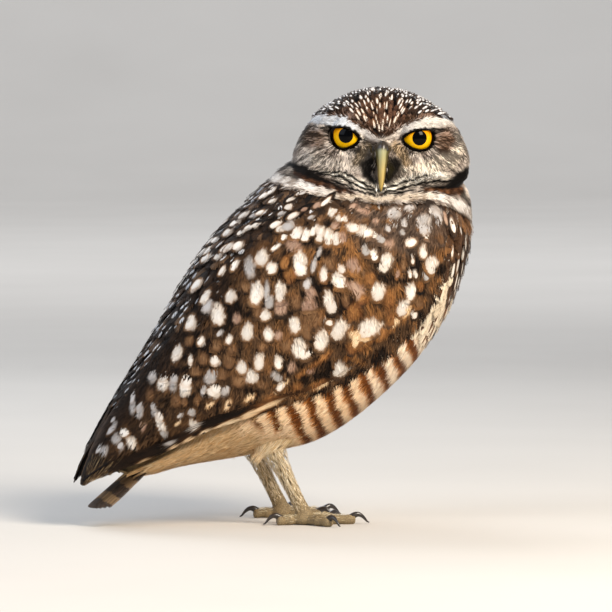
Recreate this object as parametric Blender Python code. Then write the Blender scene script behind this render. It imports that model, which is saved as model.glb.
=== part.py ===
"""Burrowing owl, standing, head turned to its own right: closed solids out to the tips of the coat.

Frame: metres, +X is the way the breast faces, +Y the bird's left, +Z up, floor at z = 0.
The trunk, wings and the upper side of the tail share one hull: ten named stations from the neck to the
wing tips, each with a point on the back line, a point on the belly line and a half width. A place on the
hull is (s, angle): s counts stations, angle is +90 on the back, 0 at the side and -90 on the belly.
"""

import math

import bmesh
import bpy
import numpy as np
from mathutils import Matrix, Vector

for old in list(bpy.data.objects):
    bpy.data.objects.remove(old)

MM = 0.001
ORIGIN = Vector((-12.4, 0.0, 0.0))  # the middle of the model's underside, in the drawing coordinates below, mm
GAP = 0.35  # clearance between neighbouring solids, mm

# name, back x, back z, belly x, belly z, half width (mm)
STATIONS = (
    ("under_head", 9, 166, 74, 154.5, 21),
    ("collar", -4.5, 161, 78.8, 144, 33),
    ("shoulder", -22.7, 144.6, 77.2, 118.5, 43),
    ("breast", -42.8, 123.1, 64, 88, 47.5),
    ("belly", -58.8, 98.0, 39.5, 60, 46.5),
    ("vent", -73.0, 74.5, 8, 38, 41),
    ("rump", -84.9, 55.8, -26, 31, 32.5),
    ("undertail", -93.5, 40.9, -59, 26, 24.5),
    ("wing_tip", -100.5, 27.7, -82, 18, 18),
    ("tip", -105, 15.5, -97, 10, 12),
)
ROUND = 2.15  # exponent of the hull's sections, 2 is an ellipse
TURN_DEG = 15.0  # how far past its own side the head is turned

# wing outline on the hull: s, lower edge angle, upper edge angle, thickness in mm
WING = (
    (1.30, -14, 0, 3.0),
    (1.50, -29, 13, 5.0),
    (2.0, -37, 33, 7.5),
    (2.75, -42, 52, 8.5),
    (3.5, -37, 60, 8.0),
    (4.3, -23, 66, 7.0),
    (4.9, -7, 72, 6.0),
    (5.5, 0, 78, 5.0),
    (6.5, 4, 84, 4.0),
    (7.3, 9, 83, 3.2),
    (8.0, 20, 77, 2.6),
    (8.6, 42, 66, 2.0),
)
WING_LIFT = 1.2  # how far the wing stands out of the hull
WING_CUT = 6.45  # where the long flight feathers come out of the coverts

TAIL_ROOT, TAIL_TIP = (-31.5, 62.0), (-97.5, 7.0)  # x, z of the tail's middle line
TAIL_HALF_WIDTH = ((0.0, 10.0), (0.45, 15.5), (0.85, 20.0), (0.96, 17.5), (1.0, 12.0))
TAIL_THICK = (5.0, 2.2)

HEAD_CENTRE = (36.0, -8.0, 161.0)
HEAD_HALF_WIDTH, HEAD_UP, HEAD_DOWN, HEAD_FRONT, HEAD_BACK = 40.5, 34.5, 19.0, 25.5, 29.0
EYE_R, EYE_X, EYE_Z, EYE_FRONT, EYE_OUT_DEG = 7.9, 16.6, 12.9, 24.8, 14.0
HEAD_ROLL_DEG = -1.9
BILL_LENGTH, BILL_BASE_Z, BILL_HALF_WIDTH = 20.2, 9.2, 2.7

KNEE, ANKLE, FOOT = (-5.0, 18.0, 57.0), (-19.5, 20.0, 38.0), (-3.0, 20.0, 4.5)
THIGH_R, TARSUS_R = 13.0, 3.6
TOE_R = 2.7
# name, direction from straight ahead in degrees (outwards is positive), length, in mm
TOES = (("inner", -32, 19), ("middle", 8, 23), ("outer", 64, 18), ("hind", 176, 13))
CLAW_LENGTH, CLAW_R = 8.0, 1.45


# ---------------------------------------------------------------- curves and tables
def smooth(table, t):
    """Catmull-Rom value of a table of rows at the place t, counted in rows."""
    rows = np.asarray(table, float)
    last = len(rows) - 1
    t = min(max(float(t), 0.0), float(last))
    i = min(int(t), last - 1)
    f = t - i
    a, b, c, d = (rows[min(max(k, 0), last)] for k in (i - 1, i, i + 1, i + 2))
    return 0.5 * (2 * b + (c - a) * f + (2 * a - 5 * b + 4 * c - d) * f * f + (3 * b - a - 3 * c + d) * f**3)


def looked_up(table, t):
    """Smoothly eased value between the rows of a table whose first column is t."""
    rows = np.asarray(table, float)
    t = min(max(float(t), rows[0, 0]), rows[-1, 0])
    i = min(max(int(np.searchsorted(rows[:, 0], t, side="right")) - 1, 0), len(rows) - 2)
    return smooth(rows[:, 1:], i + (t - rows[i, 0]) / (rows[i + 1, 0] - rows[i, 0]))


STATION_ROWS = np.array([r[1:] for r in STATIONS], float)


def hull(s, angle, back=0.0, belly=0.0, width=1.0, grow=0.0):
    """A point of the hull in mm. back and belly draw the section's ends in, as shares of its depth."""
    bx, bz, vx, vz, w = smooth(STATION_ROWS, s)
    top, low = np.array((bx, bz)), np.array((vx, vz))
    top, low = top + (low - top) * back, low + (top - low) * belly
    middle, arm = (top + low) / 2, (top - low) / 2
    length = max(float(np.hypot(*arm)), 1e-6)
    a = math.radians(angle)
    up = math.copysign(abs(math.sin(a)) ** (2 / ROUND), math.sin(a))
    out = math.copysign(abs(math.cos(a)) ** (2 / ROUND), math.cos(a))
    place = middle + arm * (1 + grow / length) * up
    return Vector((place[0], (w * width + grow) * out, place[1]))


def hull_normal(s, angle):
    d = 0.02
    along = hull(min(s + d, 8.98), angle) - hull(s - d, angle)
    round_ = hull(s, angle + 1.0) - hull(s, angle - 1.0)
    return along.cross(round_).normalized()


# ---------------------------------------------------------------- meshes
def material(name, colour, roughness=0.7):
    m = bpy.data.materials.new(name)
    m.use_nodes = True
    shader = m.node_tree.nodes["Principled BSDF"]
    shader.inputs["Base Color"].default_value = (*colour, 1)
    shader.inputs["Roughness"].default_value = roughness
    shader.inputs["Metallic"].default_value = 0.0
    return m


MATERIALS = {
    "plumage_brown": material("plumage_brown", (0.17, 0.10, 0.055), 0.8),
    "plumage_head": material("plumage_head", (0.22, 0.16, 0.11), 0.8),
    "plumage_cream": material("plumage_cream", (0.62, 0.48, 0.30), 0.8),
    "iris_yellow": material("iris_yellow", (0.90, 0.55, 0.02), 0.15),
    "bill_horn": material("bill_horn", (0.55, 0.52, 0.28), 0.4),
    "foot_skin": material("foot_skin", (0.42, 0.36, 0.26), 0.6),
    "claw_horn": material("claw_horn", (0.05, 0.04, 0.035), 0.35),
}


def solid(name, slot, rings, hidden=False, flip=False):
    """Joins closed rings of points (mm) into one body. The first and last rings close on a point each."""
    bm = bmesh.new()
    loops = [[bm.verts.new(Vector(p) * MM) for p in ring] for ring in rings]
    n = len(loops[0])
    for a, b in zip(loops, loops[1:]):
        for k in range(n):
            bm.faces.new((a[k], a[(k + 1) % n], b[(k + 1) % n], b[k]))
    for ring, turned in ((loops[0], True), (loops[-1], False)):
        middle = bm.verts.new(sum((v.co for v in ring), Vector()) / n)
        for k in range(n):
            a, b = ring[k], ring[(k + 1) % n]
            bm.faces.new((b, a, middle) if turned else (a, b, middle))
    bmesh.ops.recalc_face_normals(bm, faces=bm.faces)
    bmesh.ops.triangulate(bm, faces=bm.faces)
    return placed(name, slot, bm, hidden)


def placed(name, slot, bm, hidden=False):
    """Puts a mesh drawn in drawing coordinates into the scene, measured from the model's origin."""
    bmesh.ops.translate(bm, verts=bm.verts, vec=-ORIGIN * MM)
    mesh = bpy.data.meshes.new(name)
    bm.to_mesh(mesh)
    bm.free()
    obj = bpy.data.objects.new(name, mesh)
    bpy.context.scene.collection.objects.link(obj)
    mesh.materials.append(MATERIALS[slot])
    mesh.shade_smooth()
    if hidden:
        obj.hide_render = True
        obj.display_type = "WIRE"
    return obj


def cut(obj, cutter, operation="DIFFERENCE"):
    m = obj.modifiers.new(f"{operation.lower()}_{cutter.name}", "BOOLEAN")
    m.object = cutter
    m.operation = operation
    m.solver = "EXACT"


def limb(name, slot, points, radii, sides, hidden=False, squash=1.0):
    """A tapered round limb through points (mm), with rounded ends."""
    points = [Vector(p) for p in points]
    rings, side = [], None
    for i, (p, r) in enumerate(zip(points, radii)):
        way = (points[min(i + 1, len(points) - 1)] - points[max(i - 1, 0)]).normalized()
        side = way.cross(Vector((0, 0, 1)) if abs(way.z) < 0.9 else Vector((0, 1, 0))).normalized() if side is None else (side - way * side.dot(way)).normalized()
        up = side.cross(way)
        rings.append([p + (side * math.cos(t) + up * squash * math.sin(t)) * r for t in np.linspace(0, 2 * math.pi, sides, endpoint=False)])
    return solid(name, slot, rings, hidden)


def mirrored(p, side):
    return (p[0], p[1] * side, p[2])


# ---------------------------------------------------------------- trunk and neck
TRUNK_SIDES, TRUNK_FROM, TRUNK_TO, UNDERTAIL_FROM, UNDERTAIL_TO = 24, 1.75, 6.28, 6.30, 7.8
# where the trunk leaves the hull under the wings and tail: s, back drawn in, belly drawn in, width share
TRUNK_INSET = ((0.0, 0, 0, 1.0), (5.0, 0, 0, 0.98), (6.0, 0.14, 0, 0.86), (6.7, 0.40, 0, 0.82), (7.3, 0.50, 0, 0.80), (7.8, 0.55, 0.1, 0.66))


def trunk_rings(first, last, count, grow=0.0):
    rings = []
    for s in np.linspace(first, last, count):
        back, belly, width = looked_up(TRUNK_INSET, s)
        rings.append([hull(s, a, max(back, 0), max(belly, 0), width, grow) for a in np.linspace(0, 360, TRUNK_SIDES, endpoint=False) - 90])
    return rings


trunk = solid("trunk", "plumage_brown", trunk_rings(TRUNK_FROM, TRUNK_TO, 15))
undertail = solid("undertail", "plumage_cream", trunk_rings(UNDERTAIL_FROM, UNDERTAIL_TO, 7))
NECK_DROP = 0.006  # a thin cut parts neck and trunk
neck = solid("neck", "plumage_brown", trunk_rings(0.35, TRUNK_FROM - NECK_DROP, 7))


# ---------------------------------------------------------------- wings
def wing(name, side, first, last, grow=0.0, above=0.0, hidden=False):
    """Part of a folded wing: an outer sheet over the hull and an inner one under it, thin along both edges."""
    across, rings = 8, []
    stations = [t for t in (1.30, 1.45, 1.65, 2.0, 2.4, 2.9, 3.4, 3.9, 4.4, 4.9, 5.4, 5.9, WING_CUT, 7.0, 7.5, 8.0, 8.35, WING[-1][0]) if first < t < last]
    stations = [first, *stations, last]
    for s in stations:
        low, high, thick = looked_up(WING, s)
        low, high = low - grow * 1.3, high + grow * 1.3
        outer, inner = [], []
        for b in np.linspace(0, 1, across):
            angle = low + (high - low) * b
            edge = math.sin(math.pi * (0.12 + 0.76 * b)) ** 0.7
            p, n = hull(s, angle), hull_normal(s, angle)
            outer.append(p + n * (WING_LIFT * edge + above))
            inner.append(p - n * (thick * edge + grow))
        ring = outer + inner[::-1]
        rings.append([mirrored(q, side) for q in ring])
    return solid(name, "plumage_brown", rings, hidden)


WING_FIRST, WING_LAST = WING[0][0], WING[-1][0]
for side, word in ((1, "left"), (-1, "right")):
    wing(f"wing_{word}", side, WING_FIRST, WING_CUT - 0.012)
    wing(f"primaries_{word}", side, WING_CUT + 0.012, WING_LAST)
    cutter = wing(f"cutter_wing_{word}", side, WING_FIRST - 0.05, WING_LAST + 0.1, grow=1.5 * GAP, above=5.0, hidden=True)
    cut(trunk, cutter)
    cut(undertail, cutter)
    cut(neck, cutter)


# ---------------------------------------------------------------- tail
def tail(name, grow=0.0, hidden=False):
    root, tip = Vector((TAIL_ROOT[0], 0, TAIL_ROOT[1])), Vector((TAIL_TIP[0], 0, TAIL_TIP[1]))
    way = (tip - root).normalized()
    up = Vector((0, 1, 0)).cross(way).normalized()
    up = up if up.z > 0 else -up
    rings = []
    for t in (0.0, 0.12, 0.3, 0.45, 0.6, 0.75, 0.86, 0.94, 1.0):
        half = float(looked_up(TAIL_HALF_WIDTH, t)[0]) + grow
        thick = (TAIL_THICK[0] + (TAIL_THICK[1] - TAIL_THICK[0]) * t) / 2 + grow
        middle = root + (tip - root) * t + way * (grow * (1 if t == 1 else -1 if t == 0 else 0))
        arch = 2.2  # the fan is a shallow roof
        ring = []
        for a in np.linspace(0, 2 * math.pi, 16, endpoint=False):
            y, h = math.cos(a), math.sin(a)
            ring.append(middle + Vector((0, 1, 0)) * half * y + up * (thick * math.copysign(abs(h) ** 0.8, h) - arch * y * y * (0.4 + 0.6 * t)))
        rings.append(ring)
    return solid(name, "plumage_brown", rings, hidden)


tail("tail")
tail_cutter = tail("cutter_tail", grow=GAP, hidden=True)
cut(trunk, tail_cutter)
cut(undertail, tail_cutter)

# ---------------------------------------------------------------- head
LOOK = math.radians(-90 - TURN_DEG)  # compass of the bill in the XY plane
FACE = Matrix.Rotation(LOOK - math.pi / 2, 3, "Z") @ Matrix.Rotation(math.radians(HEAD_ROLL_DEG), 3, "Y")  # head's own axes: x to its left as seen, y ahead, z up


def from_head(p):
    """Head coordinates (x across, y ahead, z up, mm) to the model's."""
    return FACE @ Vector(p) + Vector(HEAD_CENTRE)


def bump(x, z, at_x, at_z, wide, high):
    return math.exp(-(((x - at_x) / wide) ** 2) - ((z - at_z) / high) ** 2)


def head_radius(d):
    """How far the head's surface is from its centre in the direction d, in mm."""
    up = HEAD_UP if d.z > 0 else HEAD_DOWN
    ahead = HEAD_FRONT if d.y > 0 else HEAD_BACK
    flat = 3.0 if d.y > 0 else 2.0
    r = 30.0
    for _ in range(14):  # the exponents differ, so the radius is found in steps
        half = HEAD_HALF_WIDTH * (1 - 0.07 * max(d.z * r, 0) / HEAD_UP)
        f = (abs(d.x) * r / half) ** 1.95 + (abs(d.z) * r / up) ** 1.95 + (abs(d.y) * r / ahead) ** flat
        r *= f**-0.45
    if d.y > 0:
        x, z = abs(d.x) * r, d.z * r
        r += 2.4 * bump(x, z, 17, 20.5, 15, 4.5)  # brows
        r += 1.6 * bump(x, z, 0, 10, 4.5, 6)  # bridge of the bill
        r -= 1.2 * bump(x, z, 10, -1, 6, 7)  # hollows beside the bill
        r -= 0.6 * bump(x, z, EYE_X, EYE_Z, 8, 7)  # eye sockets
    return r


def head(name, grow=0.0, hidden=False):
    rings, around = [], 24
    for a in np.linspace(-82, 82, 14):
        ring = []
        for b in np.linspace(0, 360, around, endpoint=False):
            ca = math.cos(math.radians(a))
            d = Vector((ca * math.cos(math.radians(b)), ca * math.sin(math.radians(b)), math.sin(math.radians(a))))
            ring.append(from_head(d * (head_radius(d) + grow)))
        rings.append(ring)
    return solid(name, "plumage_head", rings, hidden)


head_node = head("head")
cut(neck, head("cutter_head", grow=GAP, hidden=True))
cut(trunk, bpy.data.objects["cutter_head"])


def eye_centre(side):
    way = Vector((math.sin(math.radians(EYE_OUT_DEG)) * side, math.cos(math.radians(EYE_OUT_DEG)), 0.0))
    return Vector((EYE_X * side, EYE_FRONT, EYE_Z)) - way * EYE_R, way


def ball(name, slot, centre, radius, hidden=False):
    bm = bmesh.new()
    bmesh.ops.create_uvsphere(bm, u_segments=14, v_segments=8, radius=radius * MM)
    bmesh.ops.triangulate(bm, faces=bm.faces)
    bmesh.ops.translate(bm, verts=bm.verts, vec=Vector(centre) * MM)
    return placed(name, slot, bm, hidden)


# seen from ahead of the face, the bird's own left eye is at +x of the head's axes turned about z
for side, word in ((-1, "left"), (1, "right")):
    middle, _ = eye_centre(side)
    ball(f"eye_{word}", "iris_yellow", from_head(middle), EYE_R)
    cut(head_node, ball(f"cutter_eye_{word}", "iris_yellow", from_head(middle), EYE_R + GAP, hidden=True))


# ---------------------------------------------------------------- bill
def bill_line(t):
    """Middle line of the upper bill in head coordinates: out of the face, then hooked down."""
    return Vector((0, 22.6 + 8.0 * math.sin(math.pi * (0.22 + 0.60 * t)) - 1.0 * t, BILL_BASE_Z - (BILL_LENGTH - 0.6) * math.copysign(abs(t) ** 1.12, t)))


def bill(name, first, last, thick, wide, grow=0.0, drop=0.0, hidden=False):
    rings, count = [], 9
    for t in np.linspace(first, last, count):
        p = bill_line(t) + Vector((0, -drop, 0))
        way = (bill_line(min(t + 0.03, 1)) - bill_line(max(t - 0.03, 0))).normalized()
        out = Vector((1, 0, 0)).cross(way).normalized()
        out = out if out.y > 0 else -out
        share = (t - first) / (last - first)
        r = max(1 - share**2.2, 0.0) ** 0.62 * (0.86 + 0.14 * math.sin(math.pi * min(share * 2, 1)))
        half, deep = max(wide * r, 0.45) + grow, max(thick * r, 0.45) + grow
        rings.append([from_head(p + Vector((1, 0, 0)) * half * math.cos(a) + out * deep * math.sin(a)) for a in np.linspace(0, 2 * math.pi, 12, endpoint=False)])
    return solid(name, "bill_horn", rings, hidden)


bill("bill_upper", 0.0, 1.0, 3.4, BILL_HALF_WIDTH)
bill_cut = bill("cutter_bill", -0.02, 1.0, 3.4, BILL_HALF_WIDTH, grow=GAP, hidden=True)
cut(head_node, bill_cut)
lower = bill("bill_lower", 0.30, 0.80, 2.2, 2.1, drop=3.4)
cut(lower, bill_cut)
bill_lower_cut = bill("cutter_bill_lower", 0.29, 0.81, 2.2, 2.1, grow=GAP, drop=3.4, hidden=True)
cut(head_node, bill_lower_cut)
cut(neck, bill_lower_cut)
cut(trunk, bill_lower_cut)
cut(neck, bill_cut)
cut(trunk, bill_cut)


# ---------------------------------------------------------------- legs
def eased(a, b, t):
    return tuple(x + (y - x) * t for x, y in zip(a, b))


for side, word in ((1, "left"), (-1, "right")):
    knee, ankle, foot = (mirrored(p, side) for p in (KNEE, ANKLE, FOOT))

    def thigh(name, grow=0.0, hidden=False):
        ts = (-0.20, -0.08, 0.12, 0.4, 0.7, 1.0, 1.2, 1.32)
        shape = (0.35, 0.8, 1.0, 0.97, 0.82, 0.62, 0.42, 0.2)
        return limb(name, "plumage_cream", [eased(knee, ankle, t + grow * 0.02 * (t - 0.5)) for t in ts], [THIGH_R * k + grow for k in shape], 14, hidden)

    def tarsus(name, grow=0.0, hidden=False):
        ts = (-0.10, 0.0, 0.15, 0.4, 0.72, 0.97)
        shape = (0.5, 1.45, 1.6, 1.15, 0.95, 0.98)
        points = [eased(ankle, foot, t) for t in ts]
        if grow:
            points[0] = eased(ankle, foot, -0.115)
            points[-1] = eased(ankle, foot, 0.985)
        return limb(name, "plumage_cream", points, [TARSUS_R * k + grow for k in shape], 10, hidden)

    def way_of(turn):
        a = math.radians(turn) * side
        return Vector((math.cos(a), math.sin(a), 0))

    def toe(name, turn, length, grow=0.0, hidden=False):
        """A toe along the floor, thicker at its pads."""
        ts, zs, rs = (0.0, 0.22, 0.40, 0.54, 0.70, 0.88, 1.0), (2.8, 2.4, 2.2, 2.2, 2.0, 2.0, 2.0), (0.86, 0.86, 0.80, 0.94, 0.74, 0.86, 0.5)
        points = [Vector((foot[0], foot[1], z)) + way_of(turn) * length * t for t, z in zip(ts, zs)]
        return limb(name, "foot_skin", points, [TOE_R * r + grow for r in rs], 7, hidden)

    def claw(name, turn, length, grow=0.0, hidden=False):
        start = Vector((foot[0], foot[1], 0)) + way_of(turn) * (length - 1.6)
        points, radii = [], []
        for t in (-0.04 if grow else 0.0, 0.25, 0.5, 0.75, 1.0):
            points.append(start + way_of(turn) * CLAW_LENGTH * t + Vector((0, 0, 2.4 + 2.2 * math.sin(math.pi * min(t + 0.12, 1.0)) - 1.7 * t * t)))
            radii.append(CLAW_R * (1 - 0.78 * t) + grow)
        return limb(name, "claw_horn", points, radii, 6, hidden)

    def pad(name, grow=0.0, hidden=False):
        """The ball of the foot, where the toes meet."""
        return limb(name, "foot_skin", [Vector((foot[0], foot[1], z)) for z in (-0.9, 0.4, 2.0, 4.4, 6.2)], [r + grow for r in (4.2, 5.2, 5.4, 4.7, 3.1)], 12, hidden)

    thigh_node = thigh(f"thigh_{word}")
    tarsus(f"tarsus_{word}")
    tarsus_cutter = tarsus(f"cutter_tarsus_{word}", grow=GAP, hidden=True)
    cut(trunk, thigh(f"cutter_thigh_{word}", grow=GAP, hidden=True))
    cut(thigh_node, tarsus_cutter)
    cut(trunk, tarsus_cutter)

    bm = bmesh.new()
    bmesh.ops.create_cube(bm, size=1.0)
    bmesh.ops.scale(bm, vec=(0.12, 0.12, 0.02), verts=bm.verts)
    bmesh.ops.translate(bm, vec=(foot[0] * MM, foot[1] * MM, -0.01), verts=bm.verts)
    floor_cutter = placed(f"cutter_floor_{word}", "foot_skin", bm, hidden=True)
    ball_of_foot = pad(f"foot_{word}")
    pad_cutter = pad(f"cutter_foot_{word}", grow=GAP, hidden=True)
    cut(ball_of_foot, floor_cutter)
    cut(ball_of_foot, tarsus_cutter)
    for finger, turn, length in TOES:
        digit = toe(f"toe_{finger}_{word}", turn, length)
        cut(digit, floor_cutter)
        cut(digit, pad_cutter)
        if finger == "inner":  # the two front toes part where they leave the ball of the foot
            cut(digit, toe(f"cutter_toe_middle_{word}", TOES[1][1], TOES[1][2], grow=GAP, hidden=True))
        claw(f"claw_{finger}_{word}", turn, length)
        cut(digit, claw(f"cutter_claw_{finger}_{word}", turn, length, grow=GAP, hidden=True))
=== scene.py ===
"""Looks of the burrowing owl: one skin, the coat of solid feathers over it, eyes, lids, bill, feet and claws.

Lengths are in mm in the drawing coordinates of the solids until put(), which moves them to the model's
frame in metres. A place on the body is (s, angle): s counts the hull's stations, angle is +90 on the back,
0 at the side and -90 on the belly. A place on the face is (across, down) on a flat map in steps of
0.45 mm, on which the middle of the head is at (381, 164.5).
"""

import math

import bmesh
import bpy
import numpy as np
from mathutils import Matrix, Vector, bvhtree, kdtree


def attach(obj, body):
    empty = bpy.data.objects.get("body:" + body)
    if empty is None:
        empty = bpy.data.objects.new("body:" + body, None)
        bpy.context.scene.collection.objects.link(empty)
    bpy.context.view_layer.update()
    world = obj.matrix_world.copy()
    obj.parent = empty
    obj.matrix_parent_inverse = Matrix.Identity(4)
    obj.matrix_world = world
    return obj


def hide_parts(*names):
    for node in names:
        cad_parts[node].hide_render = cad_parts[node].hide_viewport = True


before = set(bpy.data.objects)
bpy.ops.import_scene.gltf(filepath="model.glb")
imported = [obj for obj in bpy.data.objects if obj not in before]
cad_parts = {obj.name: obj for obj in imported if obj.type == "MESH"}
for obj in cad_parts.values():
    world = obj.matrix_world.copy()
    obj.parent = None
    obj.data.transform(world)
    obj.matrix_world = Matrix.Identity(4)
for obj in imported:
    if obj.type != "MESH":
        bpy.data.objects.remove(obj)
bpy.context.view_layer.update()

MM = 0.001
ORIGIN = np.array((-12.4, 0.0, 0.0))
AZ, EL, FAR = math.radians(-15.0), math.radians(3.0), 3000.0
RIGHT = np.array((math.cos(AZ), math.sin(AZ), 0.0))
BACK = np.array((math.sin(AZ) * math.cos(EL), -math.cos(AZ) * math.cos(EL), math.sin(EL)))
UP = np.array((-math.sin(AZ) * math.sin(EL), math.cos(AZ) * math.sin(EL), math.cos(EL)))
AIM = RIGHT * 15.0 + np.array((0, 0, 97.2))

# ---------------------------------------------------------------- the solids' tables
STATIONS = np.array((
    (9, 166, 74, 154.5, 21),
    (-4.5, 161, 78.8, 144, 33),
    (-22.7, 144.6, 77.2, 118.5, 43),
    (-42.8, 123.1, 64, 88, 47.5),
    (-58.8, 98.0, 39.5, 60, 46.5),
    (-73.0, 74.5, 8, 38, 41),
    (-84.9, 55.8, -26, 31, 32.5),
    (-93.5, 40.9, -59, 26, 24.5),
    (-100.5, 27.7, -82, 18, 18),
    (-105, 15.5, -97, 10, 12),
), float)
ROUND = 2.15
WING = np.array((
    (1.30, -14, 0, 3.0), (1.50, -29, 13, 5.0), (2.0, -37, 33, 7.5), (2.75, -42, 52, 8.5), (3.5, -37, 60, 8.0), (4.3, -23, 66, 7.0),
    (4.9, -7, 72, 6.0), (5.5, 0, 78, 5.0), (6.5, 4, 84, 4.0), (7.3, 9, 83, 3.2), (8.0, 20, 77, 2.6), (8.6, 42, 66, 2.0),
), float)
TRUNK_INSET = np.array(((0.0, 0, 0, 1.0), (5.0, 0, 0, 0.98), (6.0, 0.14, 0, 0.86), (6.7, 0.40, 0, 0.82), (7.3, 0.50, 0, 0.80), (7.8, 0.55, 0.1, 0.66), (9.0, 0.6, 0.1, 0.6)), float)
TAIL_ROOT, TAIL_TIP = np.array((-31.5, 0, 62.0)), np.array((-97.5, 0, 7.0))
HEAD_CENTRE = np.array((36.0, -8.0, 161.0))
HEAD_HALF_WIDTH, HEAD_UP, HEAD_DOWN, HEAD_FRONT, HEAD_BACK = 40.5, 34.5, 19.0, 25.5, 29.0
EYE_R, EYE_X, EYE_Z, EYE_FRONT, EYE_OUT_DEG = 7.9, 16.6, 12.9, 24.8, 14.0
BILL_LENGTH, BILL_BASE_Z = 20.2, 9.2
KNEE, ANKLE, FOOT = np.array((-5.0, 18.0, 57.0)), np.array((-19.5, 20.0, 38.0)), np.array((-3.0, 20.0, 4.5))
THIGH_R, TARSUS_R, TOE_R = 13.0, 3.6, 2.7
TOES = (("inner", -32, 19), ("middle", 8, 23), ("outer", 64, 18), ("hind", 176, 13))
CLAW_LENGTH, CLAW_R = 8.0, 1.45
LOOK = math.radians(-105.0)
FACE = np.array(Matrix.Rotation(LOOK - math.pi / 2, 3, "Z") @ Matrix.Rotation(math.radians(-1.9), 3, "Y"))


def smooth(rows, t):
    """Catmull-Rom values of a table of rows at places t, counted in rows."""
    last = len(rows) - 1
    t = np.clip(t, 0.0, float(last))
    i = np.minimum(t.astype(int), last - 1)
    f = (t - i)[..., None]
    a, b, c, d = (rows[np.clip(i + k, 0, last)] for k in (-1, 0, 1, 2))
    return 0.5 * (2 * b + (c - a) * f + (2 * a - 5 * b + 4 * c - d) * f * f + (3 * b - a - 3 * c + d) * f**3)


def looked_up(table, t):
    rows = np.asarray(table, float)
    t = np.clip(np.asarray(t, float), rows[0, 0], rows[-1, 0])
    i = np.clip(np.searchsorted(rows[:, 0], t, side="right") - 1, 0, len(rows) - 2)
    return smooth(rows[:, 1:], i + (t - rows[i, 0]) / (rows[i + 1, 0] - rows[i, 0]))


def power(x, p):
    return np.sign(x) * np.abs(x) ** p


def unit(v):
    return v / np.maximum(np.linalg.norm(v, axis=-1, keepdims=True), 1e-9)


def dot(a, b):
    return (a * b).sum(-1)


def ease(x, a, b):
    """0 below a, 1 above b (or the other way round), smooth between."""
    t = np.clip((np.asarray(x, float) - a) / (b - a), 0, 1)
    return t * t * (3 - 2 * t)


class Hull:
    """The body's surface on a fine grid of (s, angle), with its directions and outward normals."""

    def __init__(self, inset):
        self.s, self.a = np.linspace(0, 9, 361), np.linspace(-180, 180, 361)
        s, a = np.meshgrid(self.s, self.a, indexing="ij")
        row = smooth(STATIONS, s)
        top, low, w = row[..., 0:2], row[..., 2:4], row[..., 4]
        if inset:
            back, belly, width = np.moveaxis(looked_up(TRUNK_INSET, s), -1, 0)
            back, belly = np.maximum(back, 0)[..., None], np.maximum(belly, 0)[..., None]
            top, low, w = top + (low - top) * back, low + (top - low) * belly, w * width
        middle, arm = (top + low) / 2, (top - low) / 2
        r = np.radians(a)
        up, out = power(np.sin(r), 2 / ROUND), power(np.cos(r), 2 / ROUND)
        place = middle + arm * up[..., None]
        self.p = np.stack((place[..., 0], w * out, place[..., 1]), -1)
        self.ds = np.gradient(self.p, self.s, axis=0)
        self.da = np.gradient(self.p, self.a, axis=1)
        self.n = unit(np.cross(self.ds, self.da))

    def read(self, grid, s, a):
        i = np.clip(s / 9 * 360, 0, 359.999)
        j = np.clip(a + 180, 0, 359.999)
        i0, j0 = i.astype(int), j.astype(int)
        f, g = (i - i0)[..., None], (j - j0)[..., None]
        return (grid[i0, j0] * (1 - f) + grid[i0 + 1, j0] * f) * (1 - g) + (grid[i0, j0 + 1] * (1 - f) + grid[i0 + 1, j0 + 1] * f) * g

    def at(self, s, a, h):
        return self.read(self.p, s, a) + unit(self.read(self.n, s, a)) * h[..., None]

    def frame_at(self, s, a, turn):
        """The unit direction turned by so many degrees from +s, the one across it, and the map from mm to (s, angle)."""
        es, ea, n = self.read(self.ds, s, a), self.read(self.da, s, a), unit(self.read(self.n, s, a))
        t1, t2 = unit(es), unit(np.cross(n, unit(es)))
        c, k = np.cos(np.radians(turn))[..., None], np.sin(np.radians(turn))[..., None]
        x, y = t1 * c + t2 * k, t2 * c - t1 * k
        g11, g12, g22 = dot(es, es), dot(es, ea), dot(ea, ea)
        det = g11 * g22 - g12 * g12
        rows = []
        for v in (x, y):
            b1, b2 = dot(v, es), dot(v, ea)
            rows.append(np.stack(((g22 * b1 - g12 * b2) / det, (g11 * b2 - g12 * b1) / det), -1))
        return rows[0], rows[1]


BODY, TRUNK = Hull(False), Hull(True)


def wing_edges(s):
    low, high, _ = np.moveaxis(looked_up(WING, s), -1, 0)
    return low, high


# ---------------------------------------------------------------- head surface
def bump(x, z, at_x, at_z, wide, high):
    return np.exp(-(((x - at_x) / wide) ** 2) - ((z - at_z) / high) ** 2)


def head_radius(d):
    x, y, z = np.abs(d[..., 0]), d[..., 1], d[..., 2]
    up = np.where(z > 0, HEAD_UP, HEAD_DOWN)
    ahead = np.where(y > 0, HEAD_FRONT, HEAD_BACK)
    flat = np.where(y > 0, 3.0, 2.0)
    r = np.full(x.shape, 30.0)
    for _ in range(14):
        half = HEAD_HALF_WIDTH * (1 - 0.07 * np.maximum(z * r, 0) / HEAD_UP)
        f = (x * r / half) ** 1.95 + (np.abs(z) * r / up) ** 1.95 + (np.abs(y) * r / ahead) ** flat
        r = r * f**-0.45
    front = ease(y, -0.05, 0.12)
    x, z = x * r, z * r
    more = 2.4 * bump(x, z, 17, 20.5, 15, 4.5) + 1.6 * bump(x, z, 0, 10, 4.5, 6) - 1.2 * bump(x, z, 10, -1, 6, 7) - 0.6 * bump(x, z, EYE_X, EYE_Z, 8, 7)
    return r + more * front


def head_point(p, h):
    """A point h above the head's surface in the direction p, in head coordinates."""
    d = unit(p)
    return d * (head_radius(d) + h)[..., None]


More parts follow.
